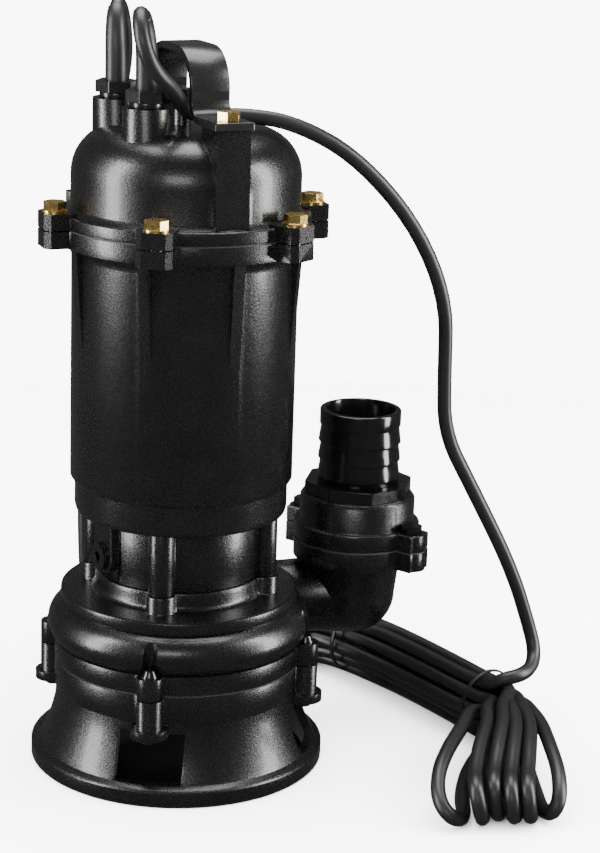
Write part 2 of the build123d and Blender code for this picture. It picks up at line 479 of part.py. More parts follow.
with BuildPart() as top_cover:
    revolve(dome_outline(DOME_R, DOME_SHOULDER, DOME_TOP, SEAM_Z, 1.0), axis=Axis.Z)
    revolve(outline((60.0, SEAM_Z), (FLANGE_R, SEAM_Z), (FLANGE_R, COVER_FLANGE_TOP - 0.8),
                    (FLANGE_R - 0.8, COVER_FLANGE_TOP), (71.0, COVER_FLANGE_TOP), (DOME_R, 348.6),
                     (60.0, 348.6)),
            axis=Axis.Z)
    for azimuth, radius in cover_spots:
        extrude(cover_lug(Plane.XY.offset(SEAM_Z)).rotate(Axis.Z, azimuth), amount=COVER_LUG_TOP - SEAM_Z)
    for azimuth in HANDLE_AZIMUTHS:
        with Locations(spot(azimuth, (PILLAR_INNER_R + PILLAR_OUTER_R) / 2, COVER_FLANGE_TOP)):
            Box(PILLAR_WIDTH, PILLAR_OUTER_R - PILLAR_INNER_R, PILLAR_TOP - COVER_FLANGE_TOP,
                align=(Align.CENTER, Align.CENTER, Align.MIN))
    with Locations(*[(x, y, dome_edge_z) for x, y in GLAND_SPOTS]):
        Cylinder(GLAND_BOSS_R, GLAND_BOSS_TOP - dome_edge_z, align=(Align.CENTER, Align.CENTER, Align.MIN))
    with Locations((VENT_X, 0, dome_edge_z)):
        Cylinder(VENT_BOSS_R, VENT_BOSS_TOP - dome_edge_z, align=(Align.CENTER, Align.CENTER, Align.MIN))
    revolve(dome_outline(DOME_R - DOME_WALL, DOME_SHOULDER - DOME_WALL, DOME_TOP - DOME_WALL, SEAM_Z, 1.0),
            axis=Axis.Z, mode=Mode.SUBTRACT)
    with Locations(*[spot(azimuth, radius, SEAM_Z) for azimuth, radius in cover_spots]):
        Cylinder(BOLT_HOLE_R, 30.0, mode=Mode.SUBTRACT)
    with Locations(*[(x, y, GLAND_BOSS_TOP) for x, y in GLAND_SPOTS]):
        Cylinder(8.1, 80.0, mode=Mode.SUBTRACT)
    with Locations((VENT_X, 0, VENT_BOSS_TOP)):
        Cylinder(3.1, 50.0, mode=Mode.SUBTRACT)
    with Locations(*[spot(azimuth, HANDLE_BOLT_R, PILLAR_TOP) for azimuth in HANDLE_AZIMUTHS]):
        Cylinder(BOLT_HOLE_R, 36.0, mode=Mode.SUBTRACT)
top_cover.part.label = "top_cover"
export_step(top_cover.part, "parts/top_cover.step")

with BuildPart() as cover_washers:
    with Locations(*[spot(azimuth, radius, COVER_LUG_TOP) for azimuth, radius in cover_spots]):
        Cylinder(7.6, 1.2, align=(Align.CENTER, Align.CENTER, Align.MIN))
        Cylinder(BOLT_HOLE_R, 10.0, mode=Mode.SUBTRACT)
cover_washers.part.label = "cover_washers"
export_step(cover_washers.part, "parts/cover_washers.step")

cover_bolts = hex_bolts([spot(azimuth, radius, COVER_LUG_TOP + 1.2) for azimuth, radius in cover_spots],
                        12.0, 5.0, 22.0)
cover_bolts.part.label = "cover_bolts"
export_step(cover_bolts.part, "parts/cover_bolts.step")

with BuildPart() as vent_plug:
    with Locations((VENT_X, 0, VENT_BOSS_TOP)):
        Cylinder(3.0, 10.0, align=(Align.CENTER, Align.CENTER, Align.MAX))
        Cylinder(6.4, 1.4, align=(Align.CENTER, Align.CENTER, Align.MIN))
    with BuildSketch(Plane.XY.offset(VENT_BOSS_TOP + 1.4)):
        with Locations((VENT_X, 0)):
            RegularPolygon(5.5, 6, major_radius=False)
    extrude(amount=7.6)
vent_plug.part.label = "vent_plug"
export_step(vent_plug.part, "parts/vent_plug.step")

# ---------------------------------------------------------------- carrying handle
handle_angle = radians(HANDLE_AZIMUTH)
handle_plane = Plane(origin=(0, 0, 0), x_dir=(sin(handle_angle), -cos(handle_angle), 0),
                     z_dir=(-cos(handle_angle), -sin(handle_angle), 0))
strap_foot_z, strap_crest_z = PILLAR_TOP + STRAP_THICK / 2, STRAP_TOP - STRAP_THICK / 2
with BuildPart() as handle:
    with BuildLine(handle_plane) as strap_line:
        FilletPolyline((STRAP_FOOT_R, strap_foot_z), (STRAP_LEG_R, strap_foot_z),
                       (STRAP_LEG_R, strap_crest_z),
                       (-STRAP_LEG_R, strap_crest_z), (-STRAP_LEG_R, strap_foot_z),
                        (-STRAP_FOOT_R, strap_foot_z),
                       radius=[STRAP_FOOT_BEND, STRAP_TOP_BEND, STRAP_TOP_BEND, STRAP_FOOT_BEND])
    strap_end = Plane(origin=strap_line.line @ 0, x_dir=(cos(handle_angle), sin(handle_angle), 0),
                      z_dir=strap_line.line % 0)
    with BuildSketch(strap_end):
        Rectangle(STRAP_WIDTH, STRAP_THICK)
    sweep(path=strap_line.line)
    with Locations(*[spot(azimuth, HANDLE_BOLT_R, PILLAR_TOP) for azimuth in HANDLE_AZIMUTHS]):
        Cylinder(BOLT_HOLE_R, 20.0, mode=Mode.SUBTRACT)
handle.part.label = "handle"
export_step(handle.part, "parts/handle.step")

handle_bolt_spots = [spot(azimuth, HANDLE_BOLT_R, PILLAR_TOP + STRAP_THICK)
                     for azimuth in HANDLE_AZIMUTHS]
handle_bolts = hex_bolts(handle_bolt_spots, 12.0, 5.3, 21.0)
handle_bolts.part.label = "handle_bolts"
export_step(handle_bolts.part, "parts/handle_bolts.step")

# ---------------------------------------------------------------- cable glands
with BuildPart() as gland_bodies:
    for x, y in GLAND_SPOTS:
        with Locations((x, y, 398.0)):
            Cylinder(8.0, SLEEVE_LOW - 398.0, align=(Align.CENTER, Align.CENTER, Align.MIN))
        with Locations((x, y, GLAND_BOSS_TOP)):
            Cylinder(10.0, GLAND_SEAT_Z - GLAND_BOSS_TOP, align=(Align.CENTER, Align.CENTER, Align.MIN))
        with Locations((x, y, 398.0)):
            Cylinder(CABLE_R + 0.1, 60.0, mode=Mode.SUBTRACT)
gland_bodies.part.label = "gland_bodies"
export_step(gland_bodies.part, "parts/gland_bodies.step")

with BuildPart() as gland_nuts:
    for x, y in GLAND_SPOTS:
        with BuildSketch(Plane.XY.offset(GLAND_SEAT_Z)):
            with Locations((x, y)):
                RegularPolygon(11.0, 6, major_radius=False, rotation=12)
        extrude(amount=GLAND_NUT_TOP - GLAND_SEAT_Z)
    with Locations(*[(x, y, SLEEVE_LOW) for x, y in GLAND_SPOTS]):
        Cylinder(8.1, 10.0, align=(Align.CENTER, Align.CENTER, Align.MAX), mode=Mode.SUBTRACT)
        Cylinder(6.7, 10.0, align=(Align.CENTER, Align.CENTER, Align.MIN), mode=Mode.SUBTRACT)
gland_nuts.part.label = "gland_nuts"
export_step(gland_nuts.part, "parts/gland_nuts.step")

with BuildPart() as gland_sleeves:
    with Locations(*[(x, y, SLEEVE_LOW) for x, y in GLAND_SPOTS]):
        Cone(6.6, 5.9, SLEEVE_TOP - SLEEVE_LOW, align=(Align.CENTER, Align.CENTER, Align.MIN))
        Cylinder(CABLE_R + 0.3, 80.0, mode=Mode.SUBTRACT)
gland_sleeves.part.label = "gland_sleeves"
export_step(gland_sleeves.part, "parts/gland_sleeves.step")

# ---------------------------------------------------------------- motor
BAR_COUNT = 18
SLOT_BASE_R = 36.0
slot_middle_r = SLOT_BASE_R + SLOT_DEPTH / 2
with BuildPart() as stator_core:
    with BuildSketch(Plane.XY.offset(STATOR_LOW)):
        Circle(HOUSING_BORE_R)
        Circle(ROTOR_R + AIR_GAP, mode=Mode.SUBTRACT)
        with PolarLocations(slot_middle_r, SLOT_COUNT):
            Rectangle(SLOT_DEPTH, SLOT_WIDTH, mode=Mode.SUBTRACT)
    extrude(amount=STATOR_HIGH - STATOR_LOW)
stator_core.part.label = "stator_core"
export_step(stator_core.part, "parts/stator_core.step")

with BuildPart() as stator_windings:
    with BuildSketch(Plane.XY.offset(STATOR_LOW)):
        with PolarLocations(slot_middle_r, SLOT_COUNT):
            Rectangle(SLOT_DEPTH - 0.6, SLOT_WIDTH - 0.6)
    extrude(amount=STATOR_HIGH - STATOR_LOW)
    revolve(outline((SLOT_BASE_R + 1.0, STATOR_LOW), (51.0, STATOR_LOW), (54.0, STATOR_LOW - 4.0),
                    (52.0, STATOR_LOW - 13.0), (40.0, STATOR_LOW - 13.0),
                     (SLOT_BASE_R + 1.0, STATOR_LOW - 8.0)),
            axis=Axis.Z)
    revolve(outline((SLOT_BASE_R + 1.0, STATOR_HIGH), (51.0, STATOR_HIGH), (54.0, STATOR_HIGH + 5.0),
                    (52.0, STATOR_HIGH + 17.0), (40.0, STATOR_HIGH + 17.0),
                     (SLOT_BASE_R + 1.0, STATOR_HIGH + 9.0)),
            axis=Axis.Z)
stator_windings.part.label = "stator_windings"
export_step(stator_windings.part, "parts/stator_windings.step")

with BuildPart() as rotor_core:
    with BuildSketch(Plane.XY.offset(STATOR_LOW)):
        Circle(ROTOR_R)
        Circle(SHAFT_R_ROTOR, mode=Mode.SUBTRACT)
        with PolarLocations(ROTOR_R - 4.5, BAR_COUNT):
            Circle(2.2, mode=Mode.SUBTRACT)
    extrude(amount=STATOR_HIGH - STATOR_LOW)
rotor_core.part.label = "rotor_core"
export_step(rotor_core.part, "parts/rotor_core.step")

with BuildPart() as rotor_cage:
    revolve(tube_outline(22.0, ROTOR_R - 0.8, STATOR_LOW - 8.0, STATOR_LOW), axis=Axis.Z)
    revolve(tube_outline(22.0, ROTOR_R - 0.8, STATOR_HIGH, STATOR_HIGH + 8.0), axis=Axis.Z)
    with BuildSketch(Plane.XY.offset(STATOR_LOW)):
        with PolarLocations(ROTOR_R - 4.5, BAR_COUNT):
            Circle(2.2)
    extrude(amount=STATOR_HIGH - STATOR_LOW)
    with PolarLocations(27.5, 6):
        with Locations((0, 0, STATOR_HIGH + 8.0)):
            Box(9.0, 2.4, 8.0, align=(Align.CENTER, Align.CENTER, Align.MIN))
rotor_cage.part.label = "rotor_cage"
export_step(rotor_cage.part, "parts/rotor_cage.step")

upper_bearing_top = UPPER_BEARING["low"] + UPPER_BEARING["width"]
with BuildPart() as shaft:
    revolve(outline((0, CUTTER_LOW + 2.0), (5.9, CUTTER_LOW + 2.0), (5.9, IMPELLER_LOW),
                    (SHAFT_R_IMPELLER, IMPELLER_LOW), (SHAFT_R_IMPELLER, 96.0), (SHAFT_R_SEAL, 96.0),
                    (SHAFT_R_SEAL, HOUSING_FLOOR), (SHAFT_R_BEARING, HOUSING_FLOOR),
                    (SHAFT_R_BEARING, bearing_seat_top), (SHAFT_R_ROTOR, bearing_seat_top),
                    (SHAFT_R_ROTOR, STATOR_HIGH + 6.0), (11.0, STATOR_HIGH + 6.0),
                     (11.0, UPPER_BEARING["low"]),
                    (SHAFT_R_TOP, UPPER_BEARING["low"]), (SHAFT_R_TOP, upper_bearing_top + 1.0),
                    (0, upper_bearing_top + 1.0)), axis=Axis.Z)
    with Locations((SHAFT_R_IMPELLER - 2.5, 0, 79.0)):
        Box(5.0, 5.0, 14.0, align=(Align.MIN, Align.CENTER, Align.CENTER), mode=Mode.SUBTRACT)
shaft.part.label = "shaft"
export_step(shaft.part, "parts/shaft.step")


def race(bearing, inner):
    """One race of a deep-groove bearing as a half section: the inner one, or else the outer one."""
    ball_circle, middle = bearing_middle(bearing)
    low, high = bearing["low"], bearing["low"] + bearing["width"]
    land = bearing["ball_r"] * 0.55
    with BuildSketch(Plane.XZ) as face:
        with BuildLine():
            if inner:
                Polyline((bearing["inner_r"], low), (ball_circle - land, low), (ball_circle - land, high),
                         (bearing["inner_r"], high), close=True)
            else:
                Polyline((ball_circle + land, low), (bearing["outer_r"], low), (bearing["outer_r"], high),
                         (ball_circle + land, high), close=True)
        make_face()
        with Locations((ball_circle, middle)):
            Circle(bearing["ball_r"] + RACE_PLAY, mode=Mode.SUBTRACT)
    return face.sketch


def balls(bearing):
    """Ball ring of a bearing in its cage, as one solid."""
    ball_circle, middle = bearing_middle(bearing)
    with BuildPart() as ring:
        revolve(tube_outline(ball_circle - 1.0, ball_circle + 1.0, middle - bearing["ball_r"] - 1.0,
                             middle + bearing["ball_r"] + 1.0), axis=Axis.Z)
        with Locations((0, 0, middle)):
            with PolarLocations(ball_circle, bearing["balls"]):
                Sphere(bearing["ball_r"])
    return ring


with BuildPart() as lower_bearing_inner:
    revolve(race(LOWER_BEARING, inner=True), axis=Axis.Z)
lower_bearing_inner.part.label = "lower_bearing_inner"
export_step(lower_bearing_inner.part, "parts/lower_bearing_inner.step")

with BuildPart() as lower_bearing_outer:
    revolve(race(LOWER_BEARING, inner=False), axis=Axis.Z)
lower_bearing_outer.part.label = "lower_bearing_outer"
export_step(lower_bearing_outer.part, "parts/lower_bearing_outer.step")

lower_bearing_balls = balls(LOWER_BEARING)
lower_bearing_balls.part.label = "lower_bearing_balls"
export_step(lower_bearing_balls.part, "parts/lower_bearing_balls.step")

with BuildPart() as upper_bearing_inner:
    revolve(race(UPPER_BEARING, inner=True), axis=Axis.Z)
upper_bearing_inner.part.label = "upper_bearing_inner"
export_step(upper_bearing_inner.part, "parts/upper_bearing_inner.step")

with BuildPart() as upper_bearing_outer:
    revolve(race(UPPER_BEARING, inner=False), axis=Axis.Z)
upper_bearing_outer.part.label = "upper_bearing_outer"
export_step(upper_bearing_outer.part, "parts/upper_bearing_outer.step")

upper_bearing_balls = balls(UPPER_BEARING)
upper_bearing_balls.part.label = "upper_bearing_balls"
export_step(upper_bearing_balls.part, "parts/upper_bearing_balls.step")

bracket_screw_azimuths = (30.0, 150.0, 270.0)
with BuildPart() as bearing_bracket:
    revolve(outline((UPPER_BEARING["outer_r"], UPPER_BEARING["low"]), (26.0, UPPER_BEARING["low"]),
                    (26.0, BRACKET_SEAT_Z), (BRACKET_R - 0.1, BRACKET_SEAT_Z), (BRACKET_R - 0.1, 324.0),
                    (12.0, 324.0), (12.0, upper_bearing_top + 2.0),
                    (UPPER_BEARING["outer_r"], upper_bearing_top + 2.0)), axis=Axis.Z)
    with PolarLocations(42.0, 3):
        with Locations((0, 0, 321.0)):
            Cylinder(8.0, 20.0, mode=Mode.SUBTRACT)
bearing_bracket.part.label = "bearing_bracket"
export_step(bearing_bracket.part, "parts/bearing_bracket.step")

with BuildPart() as wave_spring:
    revolve(tube_outline(13.5, 19.4, upper_bearing_top + 0.3, upper_bearing_top + 1.6), axis=Axis.Z)
wave_spring.part.label = "wave_spring"
export_step(wave_spring.part, "parts/wave_spring.step")

# Mechanical seal: a fixed seat below, a spring-loaded ring above, 0.05 apart
with BuildPart() as seal_seat:
    revolve(tube_outline(10.2, 15.0, 104.0, 110.0), axis=Axis.Z)
seal_seat.part.label = "seal_seat"
export_step(seal_seat.part, "parts/seal_seat.step")

with BuildPart() as seal_ring:
    revolve(tube_outline(SHAFT_R_SEAL, 13.5, 110.05, 117.0), axis=Axis.Z)
seal_ring.part.label = "seal_ring"
export_step(seal_ring.part, "parts/seal_ring.step")

with BuildPart() as seal_spring:
    with BuildLine() as coil_line:
        Helix(pitch=4.0, height=14.0, radius=11.4, center=(0, 0, 118.0))
    with BuildSketch(Plane(origin=coil_line.line @ 0, z_dir=coil_line.line % 0)):
        Circle(0.9)
    sweep(path=coil_line.line, is_frenet=True)
seal_spring.part.label = "seal_spring"
export_step(seal_spring.part, "parts/seal_spring.step")

with BuildPart() as seal_collar:
    revolve(tube_outline(SHAFT_R_SEAL, 13.0, 133.0, 138.0), axis=Axis.Z)
seal_collar.part.label = "seal_collar"
export_step(seal_collar.part, "parts/seal_collar.step")

with BuildPart() as lip_seal:
    revolve(outline((SHAFT_R_SEAL + 0.05, 163.0), (12.0, 161.2), (13.95, 161.2), (13.95, 166.8),
                    (11.0, 166.8),
                    (SHAFT_R_SEAL + 0.05, 164.0)), axis=Axis.Z)
lip_seal.part.label = "lip_seal"
export_step(lip_seal.part, "parts/lip_seal.step")

# ---------------------------------------------------------------- impeller and cutter
with BuildPart() as impeller:
    revolve(tube_outline(SHAFT_R_IMPELLER, IMPELLER_R, SHROUD_LOW, SHROUD_TOP), axis=Axis.Z)
    revolve(tube_outline(SHAFT_R_IMPELLER, 14.0, IMPELLER_LOW, SHROUD_TOP + 2.0), axis=Axis.Z)
    for index in range(IMPELLER_VANES):
        with BuildSketch(Plane.XY.offset(IMPELLER_LOW + 3.0)) as vane:
            with BuildLine():
                outer_edge = ThreePointArc((11.0, 0), (36.0, 14.0), (IMPELLER_R - 3.0, 12.0))
                Line(outer_edge @ 1, (IMPELLER_R - 3.5, 16.5))
                inner_edge = ThreePointArc((IMPELLER_R - 3.5, 16.5), (34.0, 18.5), (10.0, 5.0))
                Line(inner_edge @ 1, outer_edge @ 0)
            make_face()
        extrude(vane.sketch.rotate(Axis.Z, index * 360.0 / IMPELLER_VANES),
                amount=SHROUD_LOW - IMPELLER_LOW - 3.0)
    with Locations((SHAFT_R_IMPELLER - 1.0, 0, 79.0)):
        Box(4.0, 5.0, 26.0, align=(Align.MIN, Align.CENTER, Align.CENTER), mode=Mode.SUBTRACT)
impeller.part.label = "impeller"
export_step(impeller.part, "parts/impeller.step")

with BuildPart() as impeller_key:
    with Locations((SHAFT_R_IMPELLER - 2.5, 0, 79.0)):
        Box(5.0, 4.9, 13.8, align=(Align.MIN, Align.CENTER, Align.CENTER))
impeller_key.part.label = "impeller_key"
export_step(impeller_key.part, "parts/impeller_key.step")

with BuildPart() as cutter:
    revolve(outline((0, CUTTER_LOW), (9.0, CUTTER_LOW), (12.0, CUTTER_LOW + 3.0), (12.0, CUTTER_HIGH),
                    (5.9, CUTTER_HIGH), (5.9, CUTTER_LOW + 2.0), (0, CUTTER_LOW + 2.0)), axis=Axis.Z)
    for azimuth in (0.0, 180.0):
        with Locations(spot(azimuth, 14.5, CUTTER_LOW)):
            Box(7.0, 13.0, 5.0, align=(Align.CENTER, Align.CENTER, Align.MIN))
cutter.part.label = "cutter"
export_step(cutter.part, "parts/cutter.step")

# ---------------------------------------------------------------- electrics under the cover
with BuildPart() as run_capacitor:
    with Locations((24.0, 22.0, 326.0)):
        Cylinder(15.0, 52.0, align=(Align.CENTER, Align.CENTER, Align.MIN))
run_capacitor.part.label = "run_capacitor"
export_step(run_capacitor.part, "parts/run_capacitor.step")

with BuildPart() as terminal_block:
    with Locations((-8.0, -28.0, 324.0)):
        Box(44.0, 18.0, 16.0, align=(Align.CENTER, Align.CENTER, Align.MIN))
        with GridLocations(10.0, 1.0, 4, 1):
            Cylinder(2.4, 40.0, mode=Mode.SUBTRACT)
terminal_block.part.label = "terminal_block"
export_step(terminal_block.part, "parts/terminal_block.step")

# ---------------------------------------------------------------- outlet with its non-return flap
with BuildPart() as outlet_gasket:
    extrude(oblong_face(Plane.XY.offset(OUTLET_FLANGE_SEAM), OUTLET_BORE_R), amount=GASKET)
outlet_gasket.part.label = "outlet_gasket"
export_step(outlet_gasket.part, "parts/outlet_gasket.step")

with BuildPart() as outlet_body:
    extrude(oblong_face(Plane.XY.offset(OUTLET_FLANGE_SEAM + GASKET), SEAT_R),
            amount=OUTLET_FLANGE_TOP - OUTLET_FLANGE_SEAM - GASKET)
    with BuildSketch(Plane.XY.offset(OUTLET_FLANGE_TOP)):
        with Locations((OUTLET_X, OUTLET_Y)):
            Circle(VALVE_R)
    extrude(amount=VALVE_TOP - OUTLET_FLANGE_TOP - 3.0)
    with BuildSketch(Plane.XY.offset(VALVE_TOP - 3.0)):
        with Locations((OUTLET_X, OUTLET_Y)):
            Circle(VALVE_R)
    extrude(amount=3.0, taper=35)
    with Locations((OUTLET_X, OUTLET_Y, SEAT_TOP)):
        Cylinder(VALVE_BORE_R, 40.0, align=(Align.CENTER, Align.CENTER, Align.MIN), mode=Mode.SUBTRACT)
    with Locations((OUTLET_X - PIN_BACK, OUTLET_Y - 12.5, SEAT_TOP),
                   (OUTLET_X - PIN_BACK, OUTLET_Y + 12.5, SEAT_TOP)):
        Box(9.0, 4.0, 9.0, align=(Align.CENTER, Align.CENTER, Align.MIN))
    with Locations((OUTLET_X - PIN_BACK, OUTLET_Y, PIN_Z)):
        Cylinder(PIN_R, 29.0, rotation=(90, 0, 0), mode=Mode.SUBTRACT)
outlet_body.part.label = "outlet_body"
export_step(outlet_body.part, "parts/outlet_body.step")

with BuildPart() as flap_pin:
    with Locations((OUTLET_X - PIN_BACK, OUTLET_Y, PIN_Z)):
        Cylinder(PIN_R, 29.0, rotation=(90, 0, 0))
flap_pin.part.label = "flap_pin"
export_step(flap_pin.part, "parts/flap_pin.step")

with BuildPart() as check_flap:
    with Locations((OUTLET_X, OUTLET_Y, SEAT_TOP + FLAP_GAP)):
        Cylinder(FLAP_R, FLAP_THICK, align=(Align.CENTER, Align.CENTER, Align.MIN))
    with Locations((OUTLET_X - PIN_BACK / 2 - 4.0, OUTLET_Y, SEAT_TOP + FLAP_GAP + 0.6)):
        Box(PIN_BACK - 8.0, 14.0, FLAP_THICK + 1.4, align=(Align.CENTER, Align.CENTER, Align.MIN))
    with Locations((OUTLET_X - PIN_BACK, OUTLET_Y, PIN_Z)):
        Cylinder(4.5, 14.0, rotation=(90, 0, 0))
        Cylinder(PIN_R + 0.06, 40.0, rotation=(90, 0, 0), mode=Mode.SUBTRACT)
check_flap.part.label = "check_flap"
export_step(check_flap.part, "parts/check_flap.step")

lobe_angle = radians(OUTLET_LOBE_AZIMUTH)
lobe_reach = (OUTLET_BOLT_R * sin(lobe_angle), -OUTLET_BOLT_R * cos(lobe_angle))
outlet_bolt_spots = [Location((OUTLET_X + side * lobe_reach[0], OUTLET_Y + side * lobe_reach[1],
                               OUTLET_FLANGE_TOP))
                     for side in (1, -1)]
outlet_bolts = hex_bolts(outlet_bolt_spots, 12.0, 5.0, 22.5)
outlet_bolts.part.label = "outlet_bolts"
export_step(outlet_bolts.part, "parts/outlet_bolts.step")

with BuildPart() as coupling_collar:
    with BuildSketch(Plane.XY.offset(VALVE_TOP)):
        with Locations((OUTLET_X, OUTLET_Y)):
            RegularPolygon(COLLAR_FLATS / 2, 8, major_radius=False, rotation=10)
    extrude(amount=COLLAR_TOP - VALVE_TOP)
    with Locations((OUTLET_X, OUTLET_Y, VALVE_TOP)):
        Cylinder(29.2, 3.2, align=(Align.CENTER, Align.CENTER, Align.MIN), mode=Mode.SUBTRACT)
        Cylinder(25.7, 20.0, align=(Align.CENTER, Align.CENTER, Align.MIN), mode=Mode.SUBTRACT)
coupling_collar.part.label = "coupling_collar"
export_step(coupling_collar.part, "parts/coupling_collar.step")

barb_steps = [BARB_TOP - 10.6 - index * BARB_PITCH for index in range(BARB_COUNT)]
with BuildPart() as hose_coupling:
    with BuildSketch(Plane(origin=(OUTLET_X, OUTLET_Y, 0), x_dir=(1, 0, 0), z_dir=(0, -1, 0))):
        with BuildLine():
            corners = [(BARB_BORE_R, VALVE_TOP - 4.0), (28.6, VALVE_TOP - 4.0), (28.6, VALVE_TOP + 3.0),
                       (25.5, VALVE_TOP + 3.0), (25.5, barb_steps[-1] - BARB_PITCH)]
            for step in reversed(barb_steps):
                corners += [(BARB_R + 0.5, step - BARB_PITCH + 0.8), (BARB_R - 1.0, step)]
            corners += [(BARB_R, barb_steps[0] + 0.6), (BARB_R, BARB_TOP - 0.6), (BARB_R - 0.6, BARB_TOP),
                        (BARB_BORE_R, BARB_TOP)]
            Polyline(*corners, close=True)
        make_face()
    revolve(axis=Axis((OUTLET_X, OUTLET_Y, 0), (0, 0, 1)))
hose_coupling.part.label = "hose_coupling"
export_step(hose_coupling.part, "parts/hose_coupling.step")

# ---------------------------------------------------------------- free leads


def lead_tube(route, radii):
    """Round cable along straight runs and tangent arcs."""
    with BuildPart() as lead:
        with BuildLine() as path:
            FilletPolyline(*route, radius=radii)
        with BuildSketch(Plane(origin=path.line @ 0, z_dir=path.line % 0)):
            Circle(CABLE_R)
        sweep(path=path.line)
    length = path.wires()[0].length
    print("length", round(length, 1),
          "volume ratio", round(lead.part.volume / (pi * CABLE_R ** 2 * length), 4))
    return lead


supply_main = lead_tube(SUPPLY_ROUTE, corner_radii("supply_cord", SUPPLY_ROUTE))
supply_tail = lead_tube(TAIL_ROUTE, corner_radii("supply_tail", TAIL_ROUTE))
with BuildPart() as supply_cord:
    add(supply_main.part)
    add(supply_tail.part)
supply_cord.part.label = "supply_cord"
export_step(supply_cord.part, "parts/supply_cord.step")

switch_lead = lead_tube(SWITCH_ROUTE, corner_radii("switch_lead", SWITCH_ROUTE))
switch_lead.part.label = "switch_lead"
export_step(switch_lead.part, "parts/switch_lead.step")


def hank_plane(here, ahead, height):
    """Upright plane across the hank at one point, with its normal towards the next."""
    along = Vector(ahead[0] - here[0], ahead[1] - here[1], 0).normalized()
    return Plane(origin=(here[0], here[1], height / 2), x_dir=(along.Y, -along.X, 0), z_dir=along)


def hank_section(index):
    """Elliptical section of the hank at one station, square to its centre line."""
    (x, y), half_width, height = HANK_STATIONS[index]
    before = HANK_STATIONS[max(index - 1, 0)][0]
    after = HANK_STATIONS[min(index + 1, len(HANK_STATIONS) - 1)][0]
    ahead = (x + after[0] - before[0], y + after[1] - before[1])
    with BuildSketch(hank_plane((x, y), ahead, height)) as face:
        Ellipse(half_width, height / 2)
    return face.sketch


with BuildPart() as supply_cord_hank:
    loft([hank_section(index) for index in range(len(HANK_STATIONS))])
supply_cord_hank.part.label = "supply_cord_hank"
export_step(supply_cord_hank.part, "parts/supply_cord_hank.step")

with BuildPart() as hank_ties:
    for index, share in TIES:
        (here, half_width, height), (ahead, next_half_width, next_height) = HANK_STATIONS[index:index + 2]
        middle = tuple(a + (b - a) * share for a, b in zip(here, ahead))
        tie_half = half_width + (next_half_width - half_width) * share + TIE_GAP
        tie_height = height + (next_height - height) * share
        with BuildSketch(hank_plane(middle, ahead, tie_height + 2 * TIE_THICK)):
            Ellipse(tie_half + TIE_THICK, tie_height / 2 + TIE_THICK)
            Ellipse(tie_half, tie_height / 2, mode=Mode.SUBTRACT)
        extrude(amount=TIE_WIDE)
hank_ties.part.label = "hank_ties"
export_step(hank_ties.part, "parts/hank_ties.step")

# Moulded plug on the supply lead's tail: tapered strain relief, round body and two pins
plug_face = Plane(origin=(PLUG_X, PLUG_LOW_Y, PLUG_Z), x_dir=(1, 0, 0), z_dir=(0, 1, 0))
plug_end = PLUG_RELIEF + PLUG_BODY
with BuildPart() as supply_plug:
    with BuildSketch(Plane(origin=(PLUG_X, PLUG_LOW_Y, PLUG_Z), x_dir=(1, 0, 0), z_dir=(0, 0, 1))):
        with BuildLine():
            Polyline((0, 0), (6.2, 0), (9.5, PLUG_RELIEF), (13.0, PLUG_RELIEF), (PLUG_R, PLUG_RELIEF + 6.0),
                     (PLUG_R, plug_end), (0, plug_end), (0, 0))
        make_face()
    revolve(axis=Axis((PLUG_X, PLUG_LOW_Y, PLUG_Z), (0, 1, 0)))
    with BuildSketch(plug_face.offset(plug_end)):
        with Locations((-PIN_SPREAD, 0), (PIN_SPREAD, 0)):
            Circle(2.4)
    extrude(amount=PIN_LENGTH)
supply_plug.part.label = "supply_plug"
export_step(supply_plug.part, "parts/supply_plug.step")

with BuildPart() as switch_lead_coil:
    with BuildSketch(Plane.XY):
        with Locations(COIL_CENTRE):
            Circle(COIL_MID_R + COIL_HALF_BAND)
            Circle(COIL_MID_R - COIL_HALF_BAND, mode=Mode.SUBTRACT)
    extrude(amount=COIL_HEIGHT)
switch_lead_coil.part.label = "switch_lead_coil"
export_step(switch_lead_coil.part, "parts/switch_lead_coil.step")

connector_spot = (COIL_CENTRE[0] - COIL_MID_R, COIL_CENTRE[1], COIL_HEIGHT + CONNECTOR_R)
with BuildPart() as switch_lead_connector:
    with Locations(connector_spot):
        Cylinder(CONNECTOR_R, CONNECTOR_LENGTH, rotation=(90, 0, 0))
        Cylinder(CONNECTOR_R + 1.0, 12.0, rotation=(90, 0, 0))
    with Locations((connector_spot[0], connector_spot[1], 0)):
        Box(40.0, 60.0, COIL_HEIGHT, align=(Align.CENTER, Align.CENTER, Align.MIN), mode=Mode.SUBTRACT)
switch_lead_connector.part.label = "switch_lead_connector"
export_step(switch_lead_connector.part, "parts/switch_lead_connector.step")

with BuildPart() as coil_tie:
    with BuildSketch(Plane(origin=(COIL_CENTRE[0] + COIL_MID_R, COIL_CENTRE[1], COIL_HEIGHT / 2),
                           x_dir=(1, 0, 0), z_dir=(0, 1, 0))):
        Rectangle(2 * COIL_HALF_BAND + 2.4, COIL_HEIGHT)
        Rectangle(2 * COIL_HALF_BAND + 0.4, COIL_HEIGHT, mode=Mode.SUBTRACT)
    with BuildSketch(Plane(origin=(COIL_CENTRE[0] + COIL_MID_R, COIL_CENTRE[1], COIL_HEIGHT + 0.5),
                           x_dir=(1, 0, 0), z_dir=(0, 1, 0))):
        Rectangle(2 * COIL_HALF_BAND + 2.4, 1.0)
    extrude(amount=3.0)
coil_tie.part.label = "coil_tie"
export_step(coil_tie.part, "parts/coil_tie.step")
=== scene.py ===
"""Submersible sewage pump: finishes, free leads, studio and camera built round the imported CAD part."""
import json
import logging
import math
from dataclasses import dataclass, field
from enum import Enum

import bpy
from mathutils import Matrix, Vector

